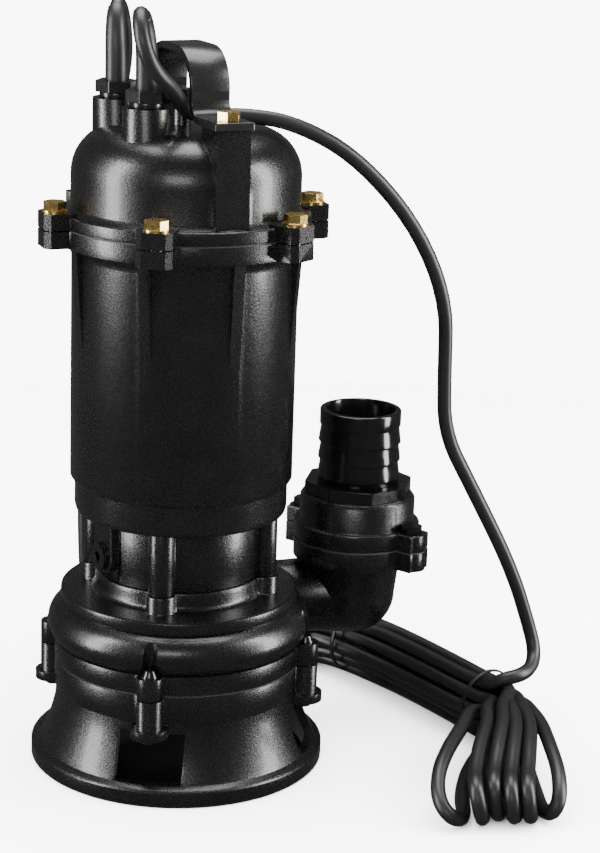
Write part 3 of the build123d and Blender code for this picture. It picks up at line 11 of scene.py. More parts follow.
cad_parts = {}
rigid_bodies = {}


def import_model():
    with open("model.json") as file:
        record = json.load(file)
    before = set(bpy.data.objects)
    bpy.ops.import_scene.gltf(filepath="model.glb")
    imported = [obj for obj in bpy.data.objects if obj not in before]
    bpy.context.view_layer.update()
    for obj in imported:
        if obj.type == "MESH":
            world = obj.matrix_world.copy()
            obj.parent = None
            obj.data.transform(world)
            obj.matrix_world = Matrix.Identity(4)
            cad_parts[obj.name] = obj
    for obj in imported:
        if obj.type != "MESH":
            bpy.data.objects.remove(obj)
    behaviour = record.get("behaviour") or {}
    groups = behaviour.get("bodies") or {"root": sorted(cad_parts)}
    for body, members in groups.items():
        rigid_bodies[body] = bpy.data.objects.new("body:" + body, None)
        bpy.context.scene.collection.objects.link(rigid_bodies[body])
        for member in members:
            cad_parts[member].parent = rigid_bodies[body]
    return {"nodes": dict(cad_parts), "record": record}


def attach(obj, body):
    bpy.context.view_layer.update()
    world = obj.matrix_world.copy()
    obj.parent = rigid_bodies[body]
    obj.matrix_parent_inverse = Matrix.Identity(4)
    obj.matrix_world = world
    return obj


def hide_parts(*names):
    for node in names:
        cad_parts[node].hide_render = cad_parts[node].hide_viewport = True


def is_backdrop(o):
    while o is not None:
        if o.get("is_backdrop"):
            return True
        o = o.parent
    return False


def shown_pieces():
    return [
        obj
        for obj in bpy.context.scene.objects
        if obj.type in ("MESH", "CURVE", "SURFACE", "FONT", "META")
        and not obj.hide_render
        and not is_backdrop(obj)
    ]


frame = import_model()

LOG = logging.getLogger("sewage_pump")
MM = 0.001
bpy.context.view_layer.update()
Point = tuple[float, float, float]

# ---------------------------------------------------------------- routes of the free leads, mm
CABLE_R = 4.6
SUPPLY_ROUTE: list[Point] = [
    (-23.6, -34.0, 418.2), (-23.6, -34.0, 434.0), (-24.2, -35.0, 447.5), (-25.8, -39.0, 459.5),
    (-27.2, -47.5, 466.0), (-27.6, -57.5, 463.0), (-26.2, -63.5, 453.0), (-22.6, -63.0, 441.5),
    (-16.8, -56.5, 432.0), (-10.0, -47.8, 424.5), (-5.9, -36.0, 417.0), (-2.5, -24.0, 409.5),
    (4.0, -15.0, 404.8), (16.0, -10.5, 403.4), (33.0, -6.5, 403.9), (62.0, -1.0, 399.8),
    (100.0, 6.0, 380.0), (138.0, 12.0, 339.0), (160.5, 18.0, 291.0), (162.0, 24.0, 243.5),
    (164.0, 28.0, 203.0), (184.0, 33.5, 166.0), (213.0, 38.5, 111.0), (228.0, 42.0, 68.0),
    (231.2, 37.0, 54.0), (228.0, 26.0, 47.2), (219.0, 15.0, 46.0), (208.5, 13.0, 44.5),
]
SWITCH_ROUTE: list[Point] = [
    (-42.4, 8.0, 418.2), (-42.4, 8.0, 434.0), (-43.0, 9.5, 448.0), (-43.2, 15.0, 459.5),
    (-42.4, 24.5, 464.5), (-40.6, 34.5, 460.0), (-38.6, 41.0, 449.0), (-38.0, 50.0, 431.0),
    (-42.0, 68.0, 406.0), (-50.0, 90.0, 375.0), (-57.0, 104.0, 330.0), (-61.0, 110.5, 270.0),
    (-63.0, 113.5, 205.0), (-64.2, 113.7, 145.0), (-64.0, 112.0, 98.0), (-61.5, 110.8, 62.0),
    (-53.0, 110.2, 34.0), (-36.0, 110.4, 13.5),
]
# Centre line of the hank on the floor, from its back end to its front tie
HANK_LINE: list[tuple[float, float]] = [
    (47.0, 179.0), (72.0, 176.0), (104.0, 157.0), (135.0, 125.0), (166.0, 81.0), (203.0, 20.0),
]


# ---------------------------------------------------------------- finishes
class Surface(Enum):
    """How a surface was made, with the stretch of its pattern along X, Y and Z."""

    CAST = (1.0, 1.0, 1.0)
    MOULDED = (1.0, 1.0, 1.0)
    LAMINATED = (0.02, 0.02, 1.0)
    TURNED = (0.06, 0.06, 1.0)
    WOUND = (1.0, 1.0, 0.12)


def linear(hex_colour: str) -> tuple[float, float, float, float]:
    """Turns an sRGB hex colour to linear light.

    Args:
        hex_colour: six hex digits after a hash.

    Returns:
        Linear red, green, blue and an alpha of one.
    """
    parts = [int(hex_colour[i:i + 2], 16) / 255 for i in (1, 3, 5)]
    red, green, blue = (c / 12.92 if c <= 0.04045 else ((c + 0.055) / 1.055) ** 2.4 for c in parts)
    return red, green, blue, 1.0


def add_node(tree: bpy.types.NodeTree, kind: str, settings: dict | None = None,
             links: dict | None = None) -> bpy.types.Node:
    """Adds one node with its settings and its incoming links.

    Args:
        tree: the node tree that takes it.
        kind: the node's type name.
        settings: input or property names and their values.
        links: input names and the sockets that feed them.

    Returns:
        The new node.
    """
    node = tree.nodes.new(kind)
    for name, value in (settings or {}).items():
        if hasattr(node, name):
            setattr(node, name, value)
        else:
            node.inputs[name].default_value = value
    for name, socket in (links or {}).items():
        tree.links.new(socket, node.inputs[name])
    return node


@dataclass(frozen=True)
class Finish:
    """One real finish, with its colours, gloss and surface relief.

    Grain is the real size of the relief and patch the size of the slow colour change, both in mm.
    """

    name: str
    dark: str
    light: str
    rough_low: float
    rough_high: float
    surface: Surface = Surface.MOULDED
    grain: float = 1.0
    relief: float = 0.05
    patch: float = 18.0
    metallic: float = 0.0
    ior: float = 1.5
    coat: float = 0.0
    sheen: float = 0.0

    def build(self) -> bpy.types.Material:
        """Builds the material's node tree.

        Returns:
            The finished material.
        """
        material = bpy.data.materials.new(self.name)
        material.use_nodes = True
        tree = material.node_tree
        tree.nodes.clear()
        place = add_node(tree, "ShaderNodeTexCoord").outputs["Object"]
        stretched = add_node(tree, "ShaderNodeMapping", {"Scale": self.surface.value},
                             {"Vector": place}).outputs["Vector"]
        grain = add_node(tree, "ShaderNodeTexNoise", {"Scale": 1 / (self.grain * MM), "Detail": 3.0,
                                                      "Roughness": 0.55}, {"Vector": stretched})
        patch = add_node(tree, "ShaderNodeTexNoise", {"Scale": 1 / (self.patch * MM), "Detail": 2.0},
                         {"Vector": place})
        colour = add_node(tree, "ShaderNodeMix", {"data_type": "RGBA"})
        colour.inputs[6].default_value = linear(self.dark)
        colour.inputs[7].default_value = linear(self.light)
        tree.links.new(patch.outputs["Fac"], colour.inputs["Factor"])
        gloss = add_node(tree, "ShaderNodeMapRange", {"From Min": 0.3, "From Max": 0.7,
                                                      "To Min": self.rough_low, "To Max": self.rough_high},
                         {"Value": grain.outputs["Fac"]})
        bump = add_node(tree, "ShaderNodeBump", {"Strength": 1.0, "Distance": self.relief * MM},
                        {"Height": grain.outputs["Fac"]})
        shader = add_node(tree, "ShaderNodeBsdfPrincipled",
                          {"Metallic": self.metallic, "Coat Weight": self.coat, "Coat Roughness": 0.12,
                           "Sheen Weight": self.sheen, "Sheen Roughness": 0.4},
                          {"Base Color": colour.outputs[2], "Roughness": gloss.outputs["Result"],
                           "Normal": bump.outputs["Normal"]})
        if self.metallic < 0.5:
            shader.inputs["IOR"].default_value = self.ior
        add_node(tree, "ShaderNodeOutputMaterial", {}, {"Surface": shader.outputs["BSDF"]})
        return material


FINISHES: dict[str, Finish] = {
    # Gloss enamel over sand-cast iron: the casting's grain shows through as bright speckle
    "cast_enamel": Finish("gloss black enamel on cast iron", "#020202", "#050505", 0.2, 0.34,
                          Surface.CAST, 0.9, 0.16, 20.0, coat=0.2),
    # The same enamel flooded over bolts and plugs: thicker, so it is smoother and rounds their corners
    "enamelled_steel": Finish("gloss black enamel on steel fasteners", "#020202", "#050505", 0.16, 0.28,
                              Surface.CAST, 1.0, 0.06, 12.0, coat=0.25),
    # Thinner enamel on rolled strap: smoother, with soft bands of light at its bends
    "strap_enamel": Finish("satin black enamel on steel strap", "#060606", "#0c0c0c", 0.24, 0.34,
                           Surface.CAST, 1.0, 0.05, 24.0),
    # Yellow passivated zinc: pale gold with slight iridescent patches
    "zinc_steel": Finish("yellow passivated zinc on steel", "#cfa23c", "#ffe7a0", 0.18, 0.34,
                         Surface.MOULDED, 0.8, 0.02, 3.5, metallic=1.0),
    # Moulded nylon with gloss faces and faint flow lines
    "barb_plastic": Finish("gloss black moulded nylon", "#020202", "#050505", 0.1, 0.2,
                           Surface.MOULDED, 6.0, 0.03, 30.0, ior=1.53),
    # Rubber sheath straight from the extruder: dull, with a dusty bloom
    "cable_rubber": Finish("dull rubber sheath", "#050506", "#0a0a0b", 0.36, 0.48,
                           Surface.MOULDED, 0.7, 0.02, 40.0),
    "seal_rubber": Finish("black nitrile rubber", "#101010", "#181818", 0.5, 0.65, grain=0.8, relief=0.03),
    "tie_plastic": Finish("black nylon tie", "#060606", "#0c0c0c", 0.3, 0.42, grain=1.0, relief=0.01),
    "gland_nylon": Finish("moulded black nylon", "#050505", "#0b0b0b", 0.16, 0.28, grain=1.2, relief=0.02),
    "grey_iron": Finish("bare grey iron", "#4b4c4d", "#6a6b6c", 0.45, 0.65, Surface.CAST, 1.4, 0.12,
                        metallic=0.9),
    "tool_steel": Finish("ground tool steel", "#8d8f92", "#b3b5b8", 0.22, 0.34, Surface.TURNED, 0.5, 0.01,
                         metallic=1.0),
    "lamination_steel": Finish("stacked electrical steel", "#5a5c60", "#83868a", 0.35, 0.5,
                               Surface.LAMINATED, 0.6, 0.06, metallic=1.0),
    "copper": Finish("enamelled copper wire", "#8d3d1c", "#c9713f", 0.2, 0.34, Surface.WOUND, 0.9, 0.2,
                     metallic=1.0),
    "cast_aluminium": Finish("die-cast aluminium", "#9c9ea1", "#c3c5c7", 0.34, 0.48, Surface.CAST, 0.9, 0.04,
                             metallic=1.0),
    "stainless_steel": Finish("turned stainless steel", "#9b9c9e", "#c2c3c5", 0.16, 0.3, Surface.TURNED,
                              0.4, 0.008, metallic=1.0),
    "bearing_steel": Finish("polished bearing steel", "#a9abad", "#cfd0d2", 0.06, 0.14, Surface.TURNED,
                            0.4, 0.003, metallic=1.0),
    "ceramic": Finish("lapped alumina ceramic", "#e4e1d6", "#f2f0e8", 0.12, 0.2, grain=0.5, relief=0.003,
                      ior=1.76),
    "carbon": Finish("lapped seal carbon", "#1a1b1d", "#2b2c2f", 0.28, 0.4, grain=0.5, relief=0.005),
    "moulded_plastic": Finish("moulded black polyamide", "#131314", "#1d1d1f", 0.34, 0.46, grain=0.9,
                              relief=0.03),
    "plug_rubber": Finish("moulded black rubber", "#121213", "#1c1c1e", 0.4, 0.55, grain=0.9, relief=0.03),
}


class PaintShop:
    """Keeps one built material for each finish and dresses objects with them."""

    def __init__(self) -> None:
        """Starts with no material built."""
        self.materials: dict[str, bpy.types.Material] = {}

    def dress(self, piece: bpy.types.Object, slot: str) -> None:
        """Gives a piece one finish all over.

        Args:
            piece: the mesh or curve object.
            slot: the record's material slot.
        """
        if slot not in self.materials:
            self.materials[slot] = FINISHES[slot].build()
        if piece.data.materials:
            for index in range(len(piece.data.materials)):
                piece.data.materials[index] = self.materials[slot]
        else:
            piece.data.materials.append(self.materials[slot])


# ---------------------------------------------------------------- shared modelling steps
def deselect() -> None:
    """Leaves nothing selected and nothing active in edit mode."""
    for piece in bpy.context.view_layer.objects:
        piece.select_set(False)
    bpy.context.view_layer.objects.active = None


def settle(piece: bpy.types.Object, name: str, slot: str, shop: PaintShop, smooth: float = 35.0) -> None:
    """Applies a finished piece's place, smooths it, dresses it and lets it ride on the pump.

    Args:
        piece: the finished mesh object.
        name: its name.
        slot: the record's material slot.
        shop: where its material comes from.
        smooth: the angle up to which its faces shade smoothly, in degrees.
    """
    deselect()
    piece.select_set(True)
    bpy.context.view_layer.objects.active = piece
    bpy.ops.object.transform_apply(location=True, rotation=True, scale=True)
    bpy.ops.object.mode_set(mode="EDIT")
    bpy.ops.mesh.select_all(action="SELECT")
    bpy.ops.mesh.remove_doubles(threshold=0.00001)
    bpy.ops.mesh.normals_make_consistent(inside=False)
    bpy.ops.object.mode_set(mode="OBJECT")
    bpy.ops.object.shade_smooth_by_angle(angle=math.radians(smooth))
    piece.name = piece.data.name = name
    shop.dress(piece, slot)
    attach(piece, "pump")
    deselect()


def cord_curve(name: str, route: list[Point]) -> bpy.types.Object:
    """Makes one smooth open cord along a route.

    Args:
        name: the cord's name.
        route: its control points in mm.

    Returns:
        The curve object, with the cord's thickness.
    """
    data = bpy.data.curves.new(name, "CURVE")
    data.dimensions = "3D"
    data.resolution_u = 5
    data.bevel_depth = CABLE_R * MM
    data.bevel_resolution = 3
    data.use_fill_caps = True
    spline = data.splines.new("NURBS")
    spline.points.add(len(route) - 1)
    for point, (x, y, z) in zip(spline.points, route):
        point.co = (x * MM, y * MM, z * MM, 1.0)
    spline.order_u = 3
    spline.use_endpoint_u = True
    cord = bpy.data.objects.new(name, data)
    bpy.context.scene.collection.objects.link(cord)
    return cord


def centreline(cord: bpy.types.Object) -> list[Vector]:
    """Reads a cord's smooth centre line.

    Args:
        cord: the curve object.

    Returns:
        Points in metres along it, in order.
    """
    bare = cord.data.copy()
    bare.bevel_depth = 0.0
    bare.resolution_u = 12
    line = bpy.data.objects.new("line", bare)
    bpy.context.scene.collection.objects.link(line)
    mesh = bpy.data.meshes.new_from_object(line)
    points = [vertex.co.copy() for vertex in mesh.vertices]
    bpy.data.objects.remove(line)
    bpy.data.meshes.remove(mesh)
    return points


def length_of(points: list[Vector]) -> float:
    """Length in metres of a line given by its points."""
    return sum((b - a).length for a, b in zip(points, points[1:]))


# ---------------------------------------------------------------- camera and studio
@dataclass
class Camera:
    """Long-lens camera, a little above the pump and turned to its right."""

    location: Point = (0.0, -1360.17, 590.24)
    pitch: float = 15.4740
    yaw: float = 3.0317
    roll: float = 1.8484
    lens: float = 97.45

    def build(self) -> bpy.types.Object:
        """Places the camera and makes it the scene's own."""
        pitch, yaw, roll = (math.radians(a) for a in (self.pitch, self.yaw, self.roll))
        ahead = Vector((math.sin(yaw) * math.cos(pitch), math.cos(yaw) * math.cos(pitch), -math.sin(pitch)))
        right = ahead.cross(Vector((0, 0, 1))).normalized()
        up = right.cross(ahead)
        turned_right = right * math.cos(roll) + up * math.sin(roll)
        turned_up = up * math.cos(roll) - right * math.sin(roll)
        data = bpy.data.cameras.new("camera")
        data.lens = self.lens
        data.sensor_width = 36.0
        data.clip_end = 30.0
        camera = bpy.data.objects.new("camera", data)
        bpy.context.scene.collection.objects.link(camera)
        rotation = Matrix((turned_right, turned_up, -ahead)).transposed().to_4x4()
        camera.matrix_world = Matrix.Translation(Vector(self.location) * MM) @ rotation
        bpy.context.scene.camera = camera
        return camera


@dataclass
class SoftBox:
    """One rectangular studio light that faces a point on the pump."""

    name: str
    place: Point
    aim: Point
    width: float
    height: float
    power: float

    def build(self) -> None:
        """Adds the light."""
        data = bpy.data.lights.new(self.name, "AREA")
        data.shape = "RECTANGLE"
        data.size, data.size_y, data.energy = self.width * MM, self.height * MM, self.power
        light = bpy.data.objects.new(self.name, data)
        bpy.context.scene.collection.objects.link(light)
        light.location = Vector(self.place) * MM
        ahead = (Vector(self.aim) - Vector(self.place)).normalized()
        light.rotation_euler = ahead.to_track_quat("-Z", "Y").to_euler()


@dataclass
class Studio:
    """White floor and surroundings, with strip lights at both sides and a soft light overhead.

    The castings mirror the lights but hardly any of the white round them, as if dark flags stood close
    in, so they stay black between their highlights.
    """

    floor_radius: float = 900.0
    # Radius in mm of the near-black disc of painted shade inside the skirt's foot ring
    shade_radius: float = 84.0
    seen_strength: float = 9.0
    lit_strength: float = 8.0
    mirrored_strength: float = 0.1
    lights: list[SoftBox] = field(default_factory=lambda: [
        SoftBox("left strip", (-900, -260, 460), (0, 0, 230), 260, 1100, 20),
        SoftBox("right strip", (950, -120, 420), (60, 0, 220), 260, 1100, 22),
        SoftBox("overhead", (60, 260, 1500), (60, 0, 0), 1100, 900, 30),
        SoftBox("front fill", (-250, -1700, 900), (60, 0, 150), 700, 500, 8),
    ])

    def build(self) -> None:
        """Builds the floor, a near-black disc of painted shade under the skirt, the lights and the white
        surroundings.
        """
        self.paper("floor", self.floor_radius, (60.0, 60.0, 0.0), "#fafafa")
        # Painted shade: a near-black disc just above the floor inside the skirt, so the floor seen through its
        # windows reads as black shade
        self.paper("shade_under_skirt", self.shade_radius, (0.0, 0.0, 0.1), "#050505")
        for light in self.lights:
            light.build()
        self.surround()

    def paper(self, name: str, radius: float, place: Point, colour: str) -> None:
        """Lays one round sheet of matt paper, which is not part of the pump.

        Args:
            name: the sheet's name.
            radius: its radius in mm.
            place: its centre in mm.
            colour: its sRGB hex colour.
        """
        deselect()
        bpy.ops.mesh.primitive_circle_add(vertices=96, radius=radius * MM, fill_type="NGON",
                                          location=tuple(c * MM for c in place))
        sheet = bpy.context.object
        sheet.name = name
        sheet.visible_glossy = False
        material = bpy.data.materials.new(name)
        material.use_nodes = True
        tree = material.node_tree
        tree.nodes.clear()
        shader = add_node(tree, "ShaderNodeBsdfPrincipled", {"Base Color": linear(colour), "Roughness": 0.8})
        add_node(tree, "ShaderNodeOutputMaterial", {}, {"Surface": shader.outputs["BSDF"]})
        sheet.data.materials.append(material)
        sheet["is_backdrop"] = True

    def surround(self) -> None:
        """Makes the surroundings white to the eye, bright on the floor and dim in reflections."""
        world = bpy.data.worlds.new("white surroundings")
        world.use_nodes = True
        tree = world.node_tree
        tree.nodes.clear()
        ray = add_node(tree, "ShaderNodeLightPath")
        shades = [add_node(tree, "ShaderNodeBackground", {"Color": (1, 1, 1, 1), "Strength": strength})
                  for strength in (self.lit_strength, self.seen_strength, self.mirrored_strength)]
        mixed = shades[0].outputs[0]
        for shade, kind in zip(shades[1:], ("Is Camera Ray", "Is Glossy Ray")):
            mix = tree.nodes.new("ShaderNodeMixShader")
            tree.links.new(ray.outputs[kind], mix.inputs[0])
            tree.links.new(mixed, mix.inputs[1])
            tree.links.new(shade.outputs[0], mix.inputs[2])
            mixed = mix.outputs[0]
        add_node(tree, "ShaderNodeOutputWorld", {}, {"Surface": mixed})
        bpy.context.scene.world = world


# ---------------------------------------------------------------- supply lead
@dataclass
class SupplyLead:
    """Supply lead: over the cover, down to its hank on the floor, and out of the back to its plug.

    Slots are (sideways step, layer) places across the tied bundle, one cable apart. Each upper
    run folds over at the front and comes back along its lower partner.
    """

    step: float = 9.35
    layer: float = 8.0
    floor: float = CABLE_R + 0.15
    # The spline cuts inside its points, so a turn's points stand out by one over this
    corner_cut: float = 0.924
    lead_in: float = 10.0
    entry: tuple[float, int] = (0.5, 4)
    upper: tuple[tuple[float, int], ...] = ((1.5, 2), (1.0, 3), (-0.5, 4), (-0.5, 2), (-1.0, 3), (-1.5, 2))
    lower: tuple[tuple[float, int], ...] = ((1.0, 1), (0.5, 0), (0.5, 2), (0.0, 1), (-0.5, 0), (-1.0, 1))
    # Share of the tied spread at each station of the hank's line
    spread: tuple[float, ...] = (1.1, 1.12, 1.04, 1.06, 1.04, 1.0)
    # Sideways places, mm, of the lower and upper end of each fold at the back
    back_low: tuple[float, ...] = (31.5, 23.6, 14.4, 5.2, -4.0, -13.2)
    back_high: tuple[float, ...] = (28.0, 19.4, 10.2, 1.0, -8.2, -17.4)
    # The fan in front of the tie, left to right: each loop's shoulder, belly, cheek and nose, and its
    # return along the floor, as places on the floor in mm; the third loop's return rides on its neighbours
    fan: tuple[tuple[tuple[float, float], ...], ...] = (
        ((179.0, -32.0), (166.5, -64.0), (157.5, -92.0), (162.0, -111.0), (174.5, -84.0), (180.5, -40.0)),
        ((193.0, -38.0), (183.5, -70.0), (177.5, -97.0), (175.5, -119.0), (184.0, -86.0), (190.0, -40.0)),
        ((202.0, -40.0), (195.0, -70.0), (189.5, -95.0), (186.5, -113.0), (193.0, -84.0), (195.0, -40.0)),
        ((210.0, -40.0), (204.5, -70.0), (199.5, -95.0), (196.5, -117.0), (202.0, -85.0), (200.0, -40.0)),
        ((219.0, -38.0), (214.5, -68.0), (210.0, -94.0), (206.5, -116.0), (211.5, -84.0), (209.5, -40.0)),
        ((227.0, -34.0), (227.5, -64.0), (224.0, -90.0), (217.0, -106.0), (221.0, -80.0), (219.0, -40.0)),
    )
    crown: tuple[float, ...] = (33.0, 36.0, 38.0, 37.5, 36.0, 33.0)
    riding: int = 2
    # The outer loops lie over sideways: their way round from belly to return, with heights
    leaning: dict[int, tuple[Point, ...]] = field(default_factory=lambda: {
        0: ((158.5, -86.0, 28.5), (155.0, -101.0, 22.0), (156.0, -112.5, 15.0), (162.0, -118.5, 9.0),
            (169.0, -113.5, 5.0), (172.0, -100.0, 4.75), (172.5, -80.0, 4.75)),
        5: ((229.0, -82.0, 28.0), (229.0, -96.0, 23.5), (228.0, -106.5, 16.0), (224.0, -109.5, 8.0),
            (220.5, -101.5, 4.9), (219.0, -88.0, 4.75), (219.0, -72.0, 4.75)),
    })
    # The way from the hank's back end to the plug, outside the folds
    tail: tuple[Point, ...] = (
        (91.0, 182.0, 11.0), (73.0, 197.0, 6.0), (57.0, 206.0, 5.5), (45.5, 221.0, 11.0), (40.0, 240.0, 17.5))

    def across(self, index: int) -> tuple[Vector, Vector, Vector]:
        """Centre, forward direction and sideways direction of the hank at one station."""
        here, last = Vector(HANK_LINE[index]), len(HANK_LINE) - 1
        before, after = Vector(HANK_LINE[max(index - 1, 0)]), Vector(HANK_LINE[min(index + 1, last)])
        along = (after - before).normalized()
        return here, along, Vector((along.y, -along.x))

    def spot(self, index: int, sideways: float, height: float, ahead: float = 0.0) -> Point:
        """A point of the hank from its station, sideways place, height and a shift along the line."""
        here, along, side = self.across(index)
        place = here + side * sideways + along * ahead
        return place.x, place.y, height

    def run(self, slot: tuple[float, int], stations: range, number: int) -> list[Point]:
        """Control points of one run between the ties.

        Args:
            slot: its sideways step and layer.
            stations: the stations that it passes, in its own order.
            number: the run's number, which shifts its small wander.

        Returns:
            One point at each station.
        """
        points = []
        for index in stations:
            wander = 0.7 * math.sin(2.3 * number + 1.7 * index) if index < 5 else 0.0
            sideways = slot[0] * self.step * self.spread[index] + wander
            lift = 0.4 * (1 + math.sin(1.1 * number + index)) * (slot[1] > 0)
            height = CABLE_R + slot[1] * self.layer + lift
            points.append(self.spot(index, sideways, height))
        return points

    def half_turn(self, start: Vector, end: Vector, outward: Vector,
                  heights: tuple[float, float]) -> list[Point]:
        """Control points of an upright half turn, round enough for the cable.

        Args:
            start: place on the floor under the turn's first end, at its outermost reach.
            end: the same for its second end.
            outward: direction on the floor in which the turn bulges.
            heights: heights of its first and second ends.

        Returns:
            Six points: one on each straight end, and four an eighth of a turn apart.
        """
        middle, radius = sum(heights) / 2, abs(heights[0] - heights[1]) / 2
        straight = outward * (radius + self.lead_in)
        points = [(*(start - straight), heights[0])]
        for degrees in (67.5, 22.5, -22.5, -67.5):
            angle = math.radians(degrees)
            shift = outward * radius * (math.cos(angle) / self.corner_cut - 1)
            place = start.lerp(end, (1 - math.sin(angle)) / 2) + shift
            points.append((place.x, place.y, middle + (heights[0] - middle) * math.sin(angle) / self.corner_cut))
        return points + [(*(end - straight), heights[1])]

    def front_fold(self, number: int) -> list[Point]:
        """Control points of one loop of the fan, from the upper run round to the lower run."""
        shoulder, belly, cheek, nose, back, heel = (Vector(place) for place in self.fan[number])
        crown = self.crown[number]
        outward = (nose - cheek).normalized()
        start = self.upper[number][0] * self.step
        top = CABLE_R + self.upper[number][1] * self.layer
        drift = Vector((back.x - nose.x, 0.0)) * 0.7
        heel_height = self.floor + (8.2 if number == self.riding else 0.0)
        bend = self.leaning.get(number) or (
            *self.half_turn(nose, nose + drift, outward, (27.5, self.floor)), (*back, self.floor))
        return [
            self.spot(5, start, top * 0.45 + crown * 0.55, 13.0),
            (*(shoulder * 0.62 + Vector(self.spot(5, start, 0.0)[:2]) * 0.38), crown + 0.6),
            (*shoulder, crown), (*belly, 0.5 * crown + 15.5), *bend, (*heel, heel_height),
            self.spot(5, self.lower[number][0] * self.step,
                      CABLE_R + self.lower[number][1] * self.layer * 0.8, 16.0),
        ]

    def back_fold(self, number: int) -> list[Point]:
        """Control points of one fold at the back end, from a lower run up to the next upper run."""
        here, along, side = self.across(0)
        low, high = self.back_low[number], self.back_high[number]
        reach = here + along * (3.0 + 2.5 * (number % 2))
        points = self.half_turn(reach + side * low, reach + side * high, -along,
                                (self.floor, 30.5 - 0.05 * abs(high)))
        if number == 0:
            points = [self.spot(1, 17.0, 35.0, 34.0), self.spot(1, 29.0, 26.0, 22.0),
                      self.spot(1, 33.5, 13.0, 14.0), *points]
        return points

    def route(self) -> list[Point]:
        """All of the lead's control points, from its gland to its plug."""
        inward, outward = range(5, 1, -1), range(2, 6)
        points = SUPPLY_ROUTE + self.run(self.entry, inward, 0)[:-1]
        for number, (high, partner) in enumerate(zip(self.upper, self.lower)):
            points += self.back_fold(number)
            points += self.run(high, outward, 2 * number + 1)
            points += self.front_fold(number)
            points += self.run(partner, inward, 2 * number + 2)
        return points + list(self.tail)

    def build(self, shop: PaintShop) -> bpy.types.Object:
        """Builds the lead's curve.

        Args:
            shop: where its material comes from.

        Returns:
            The cord.
        """
        cord = cord_curve("supply_lead", self.route())
        shop.dress(cord, "cable_rubber")
        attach(cord, "pump")
        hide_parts("supply_cord", "supply_cord_hank")
        return cord


# ---------------------------------------------------------------- switch lead
@dataclass
class SwitchLead:
    """Switch lead: down behind the pump into a three-turn coil with its connector on top."""

    centre: tuple[float, float] = (-14.0, 160.0)
    turns: tuple[tuple[float, float], ...] = ((53.0, 4.7), (43.7, 4.7), (48.4, 12.8))
    per_turn: int = 16
    # From the top turn into the connector
    last_bend: tuple[Point, ...] = (
        (-48.0, 197.5, 17.5), (-59.5, 194.5, 23.5), (-62.3, 187.0, 25.6), (-62.5, 181.0, 25.8))

    def route(self) -> list[Point]:
        """All of the lead's control points, from its gland to its connector."""
        points = list(SWITCH_ROUTE)
        last = (len(self.turns) - 1) * self.per_turn + 9
        for index in range(last + 1):
            turn, share = divmod(index / self.per_turn, 1.0)
            here, after = self.turns[int(turn)], self.turns[min(int(turn) + 1, len(self.turns) - 1)]
            blend = max(0.0, (share - 0.75) / 0.25)
            radius = here[0] + (after[0] - here[0]) * blend
            height = here[1] + (after[1] - here[1]) * blend
            angle = math.radians(-90.0) + 2 * math.pi * index / self.per_turn
            points.append((self.centre[0] + radius * math.cos(angle),
                           self.centre[1] + radius * math.sin(angle), height))
        return points + list(self.last_bend)

    def build(self, shop: PaintShop) -> bpy.types.Object:
        """Builds the lead's curve and returns it."""
        cord = cord_curve("switch_lead_cord", self.route())
        shop.dress(cord, "cable_rubber")
        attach(cord, "pump")
        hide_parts("switch_lead", "switch_lead_coil")
        return cord


# ---------------------------------------------------------------- pieces on the leads
@dataclass
class GlandSleeve:
    """Tapered rubber sleeve that stands on a gland and bends with its lead."""

    name: str
    cord: bpy.types.Object
    length: float = 47.0
    foot_r: float = 6.6
    tip_r: float = 5.2

    def build(self, shop: PaintShop) -> bpy.types.Object:
        """Builds the sleeve along its cord's centre line and returns it."""
        line = centreline(self.cord)
        data = bpy.data.curves.new(self.name, "CURVE")
        data.dimensions = "3D"
        data.bevel_depth = MM
        data.bevel_resolution = 6
        data.use_fill_caps = True
        run, kept = 0.0, [line[0]]
        for before, after in zip(line, line[1:]):
            run += (after - before).length
            if run > self.length * MM:
                break
            kept.append(after)
        spline = data.splines.new("POLY")
        spline.points.add(len(kept) - 1)
        for index, (point, place) in enumerate(zip(spline.points, kept)):
            share = index / (len(kept) - 1)
            point.co = (*place, 1.0)
            waist = share * share
            point.radius = self.foot_r + (self.tip_r - self.foot_r) * waist
        spline.points[-1].radius = self.tip_r - 0.35
        shape = bpy.data.objects.new(self.name, data)
        bpy.context.scene.collection.objects.link(shape)
        mesh = bpy.data.meshes.new_from_object(shape)
        bpy.data.objects.remove(shape)
        sleeve = bpy.data.objects.new(self.name, mesh)
        bpy.context.scene.collection.objects.link(sleeve)
        settle(sleeve, self.name, "cable_rubber", shop, 45.0)
        return sleeve


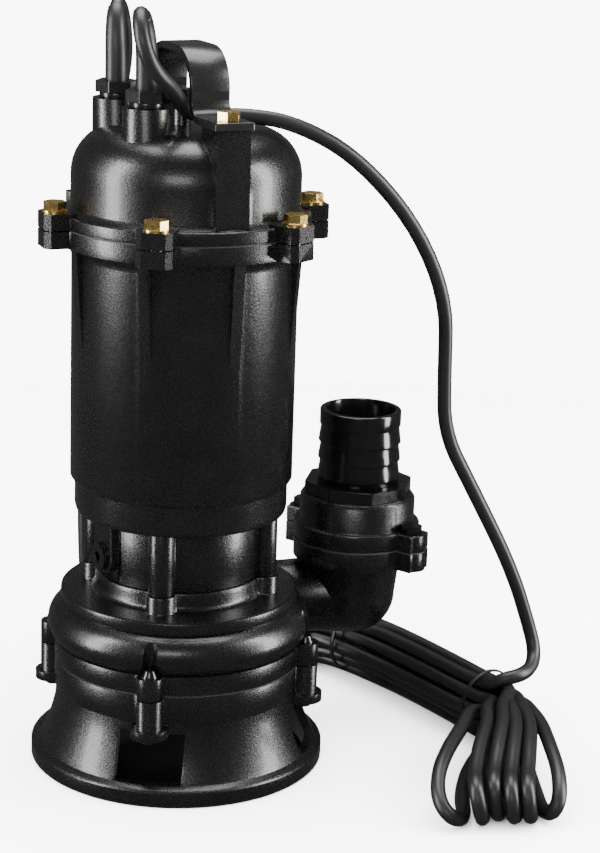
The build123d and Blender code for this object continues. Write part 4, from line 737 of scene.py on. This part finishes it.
@dataclass
class HankTie:
    """Thin nylon tie drawn tight round the hank."""

    name: str
    start: int
    share: float
    half_width: float
    height: float
    width: float = 2.6
    thick: float = 1.3

    def build(self, shop: PaintShop) -> bpy.types.Object:
        """Builds the tie and returns it."""
        here, ahead = Vector(HANK_LINE[self.start]), Vector(HANK_LINE[self.start + 1])
        place, along = here.lerp(ahead, self.share), (ahead - here).normalized()
        deselect()
        bpy.ops.mesh.primitive_cylinder_add(vertices=72, radius=1.0, depth=self.width * MM,
                                            end_fill_type="NOTHING", location=(0, 0, 0))
        tie = bpy.context.object
        bpy.ops.object.mode_set(mode="EDIT")
        bpy.ops.mesh.select_all(action="SELECT")
        half_z = self.height / 2 * MM
        bpy.ops.transform.resize(value=(self.half_width * MM, half_z, 1.0))
        bpy.ops.object.mode_set(mode="OBJECT")
        upright = Matrix(((along.y, 0, along.x, 0), (-along.x, 0, along.y, 0), (0, 1, 0, 0), (0, 0, 0, 1)))
        centre = (place.x * MM, place.y * MM, half_z + self.thick * MM)
        tie.matrix_world = Matrix.Translation(centre) @ upright
        wall = tie.modifiers.new("wall", "SOLIDIFY")
        wall.thickness, wall.offset = self.thick * MM, 1.0
        edge = tie.modifiers.new("edge", "BEVEL")
        edge.width, edge.segments = 0.3 * MM, 2
        deselect()
        tie.select_set(True)
        bpy.context.view_layer.objects.active = tie
        for modifier in ("wall", "edge"):
            bpy.ops.object.modifier_apply(modifier=modifier)
        settle(tie, self.name, "tie_plastic", shop)
        return tie


# ---------------------------------------------------------------- the CAD part's own nodes
@dataclass
class Castings:
    """Dresses every CAD node, and rounds the edges of those that show."""

    edges: dict[str, float] = field(default_factory=lambda: {
        "base_skirt": 1.2, "volute_casing": 1.2, "seal_plate": 1.0, "oil_chamber": 1.0, "motor_housing": 1.0,
        "top_cover": 1.0, "outlet_body": 1.0, "handle": 0.7, "coupling_collar": 0.6, "hose_coupling": 0.4,
        "gland_bodies": 0.4, "gland_nuts": 0.5, "cover_bolts": 0.3, "handle_bolts": 0.3, "base_bolts": 0.3,
        "chamber_bolts": 0.3, "outlet_bolts": 0.3, "oil_plug": 0.4, "vent_plug": 0.4, "supply_plug": 1.0,
        "switch_lead_connector": 0.5, "coil_tie": 0.2,
    })

    def round_edges(self, node: bpy.types.Object, width: float) -> None:
        """Rounds a node's edges with modifiers, without touching its mesh.

        Args:
            node: the CAD node's object.
            width: the rounding's width in mm.
        """
        weld = node.modifiers.new("weld", "WELD")
        weld.merge_threshold = 0.00001
        bevel = node.modifiers.new("edges", "BEVEL")
        bevel.width, bevel.segments = width * MM, 2
        bevel.limit_method, bevel.angle_limit = "ANGLE", math.radians(38.0)
        bevel.harden_normals = False

    def build(self, shop: PaintShop) -> None:
        """Dresses and rounds the nodes."""
        slots = {row["node"]: row["material_slot"] for row in frame["record"]["subparts"]}
        for name, node in frame["nodes"].items():
            shop.dress(node, slots[name])
            if name in self.edges:
                self.round_edges(node, self.edges[name])


def main() -> None:
    """Builds the camera, the leads and their pieces, the CAD part's finishes and the studio."""
    logging.basicConfig(level=logging.INFO, format="%(name)s: %(message)s")
    shop = PaintShop()
    Camera().build()
    nodes = frame["nodes"]
    supply = SupplyLead().build(shop)
    switch = SwitchLead().build(shop)
    sleeves = [GlandSleeve("supply_sleeve", supply, 49.0).build(shop),
               GlandSleeve("switch_sleeve", switch, 47.0).build(shop)]
    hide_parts("gland_sleeves")
    ties = [HankTie("hank_tie_back", 2, 0.55, 21.5, 43.5).build(shop),
            HankTie("hank_tie_front", 4, 0.93, 20.2, 43.4).build(shop)]
    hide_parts("hank_ties")
    for cord, far_end, start, pieces in (
            (supply, "plug", SUPPLY_ROUTE[0], [sleeves[0], *ties, nodes["supply_plug"]]),
            (switch, "connector", SWITCH_ROUTE[0],
             [sleeves[1], nodes["switch_lead_connector"], nodes["coil_tie"]])):
        length = length_of(centreline(cord))
        LOG.info("%s is %.3f m long", cord.name, length)
    Castings().build(shop)
    Studio().build()
    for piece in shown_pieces():
        LOG.info("piece %s", piece.name)


if __name__ == "__main__":
    main()
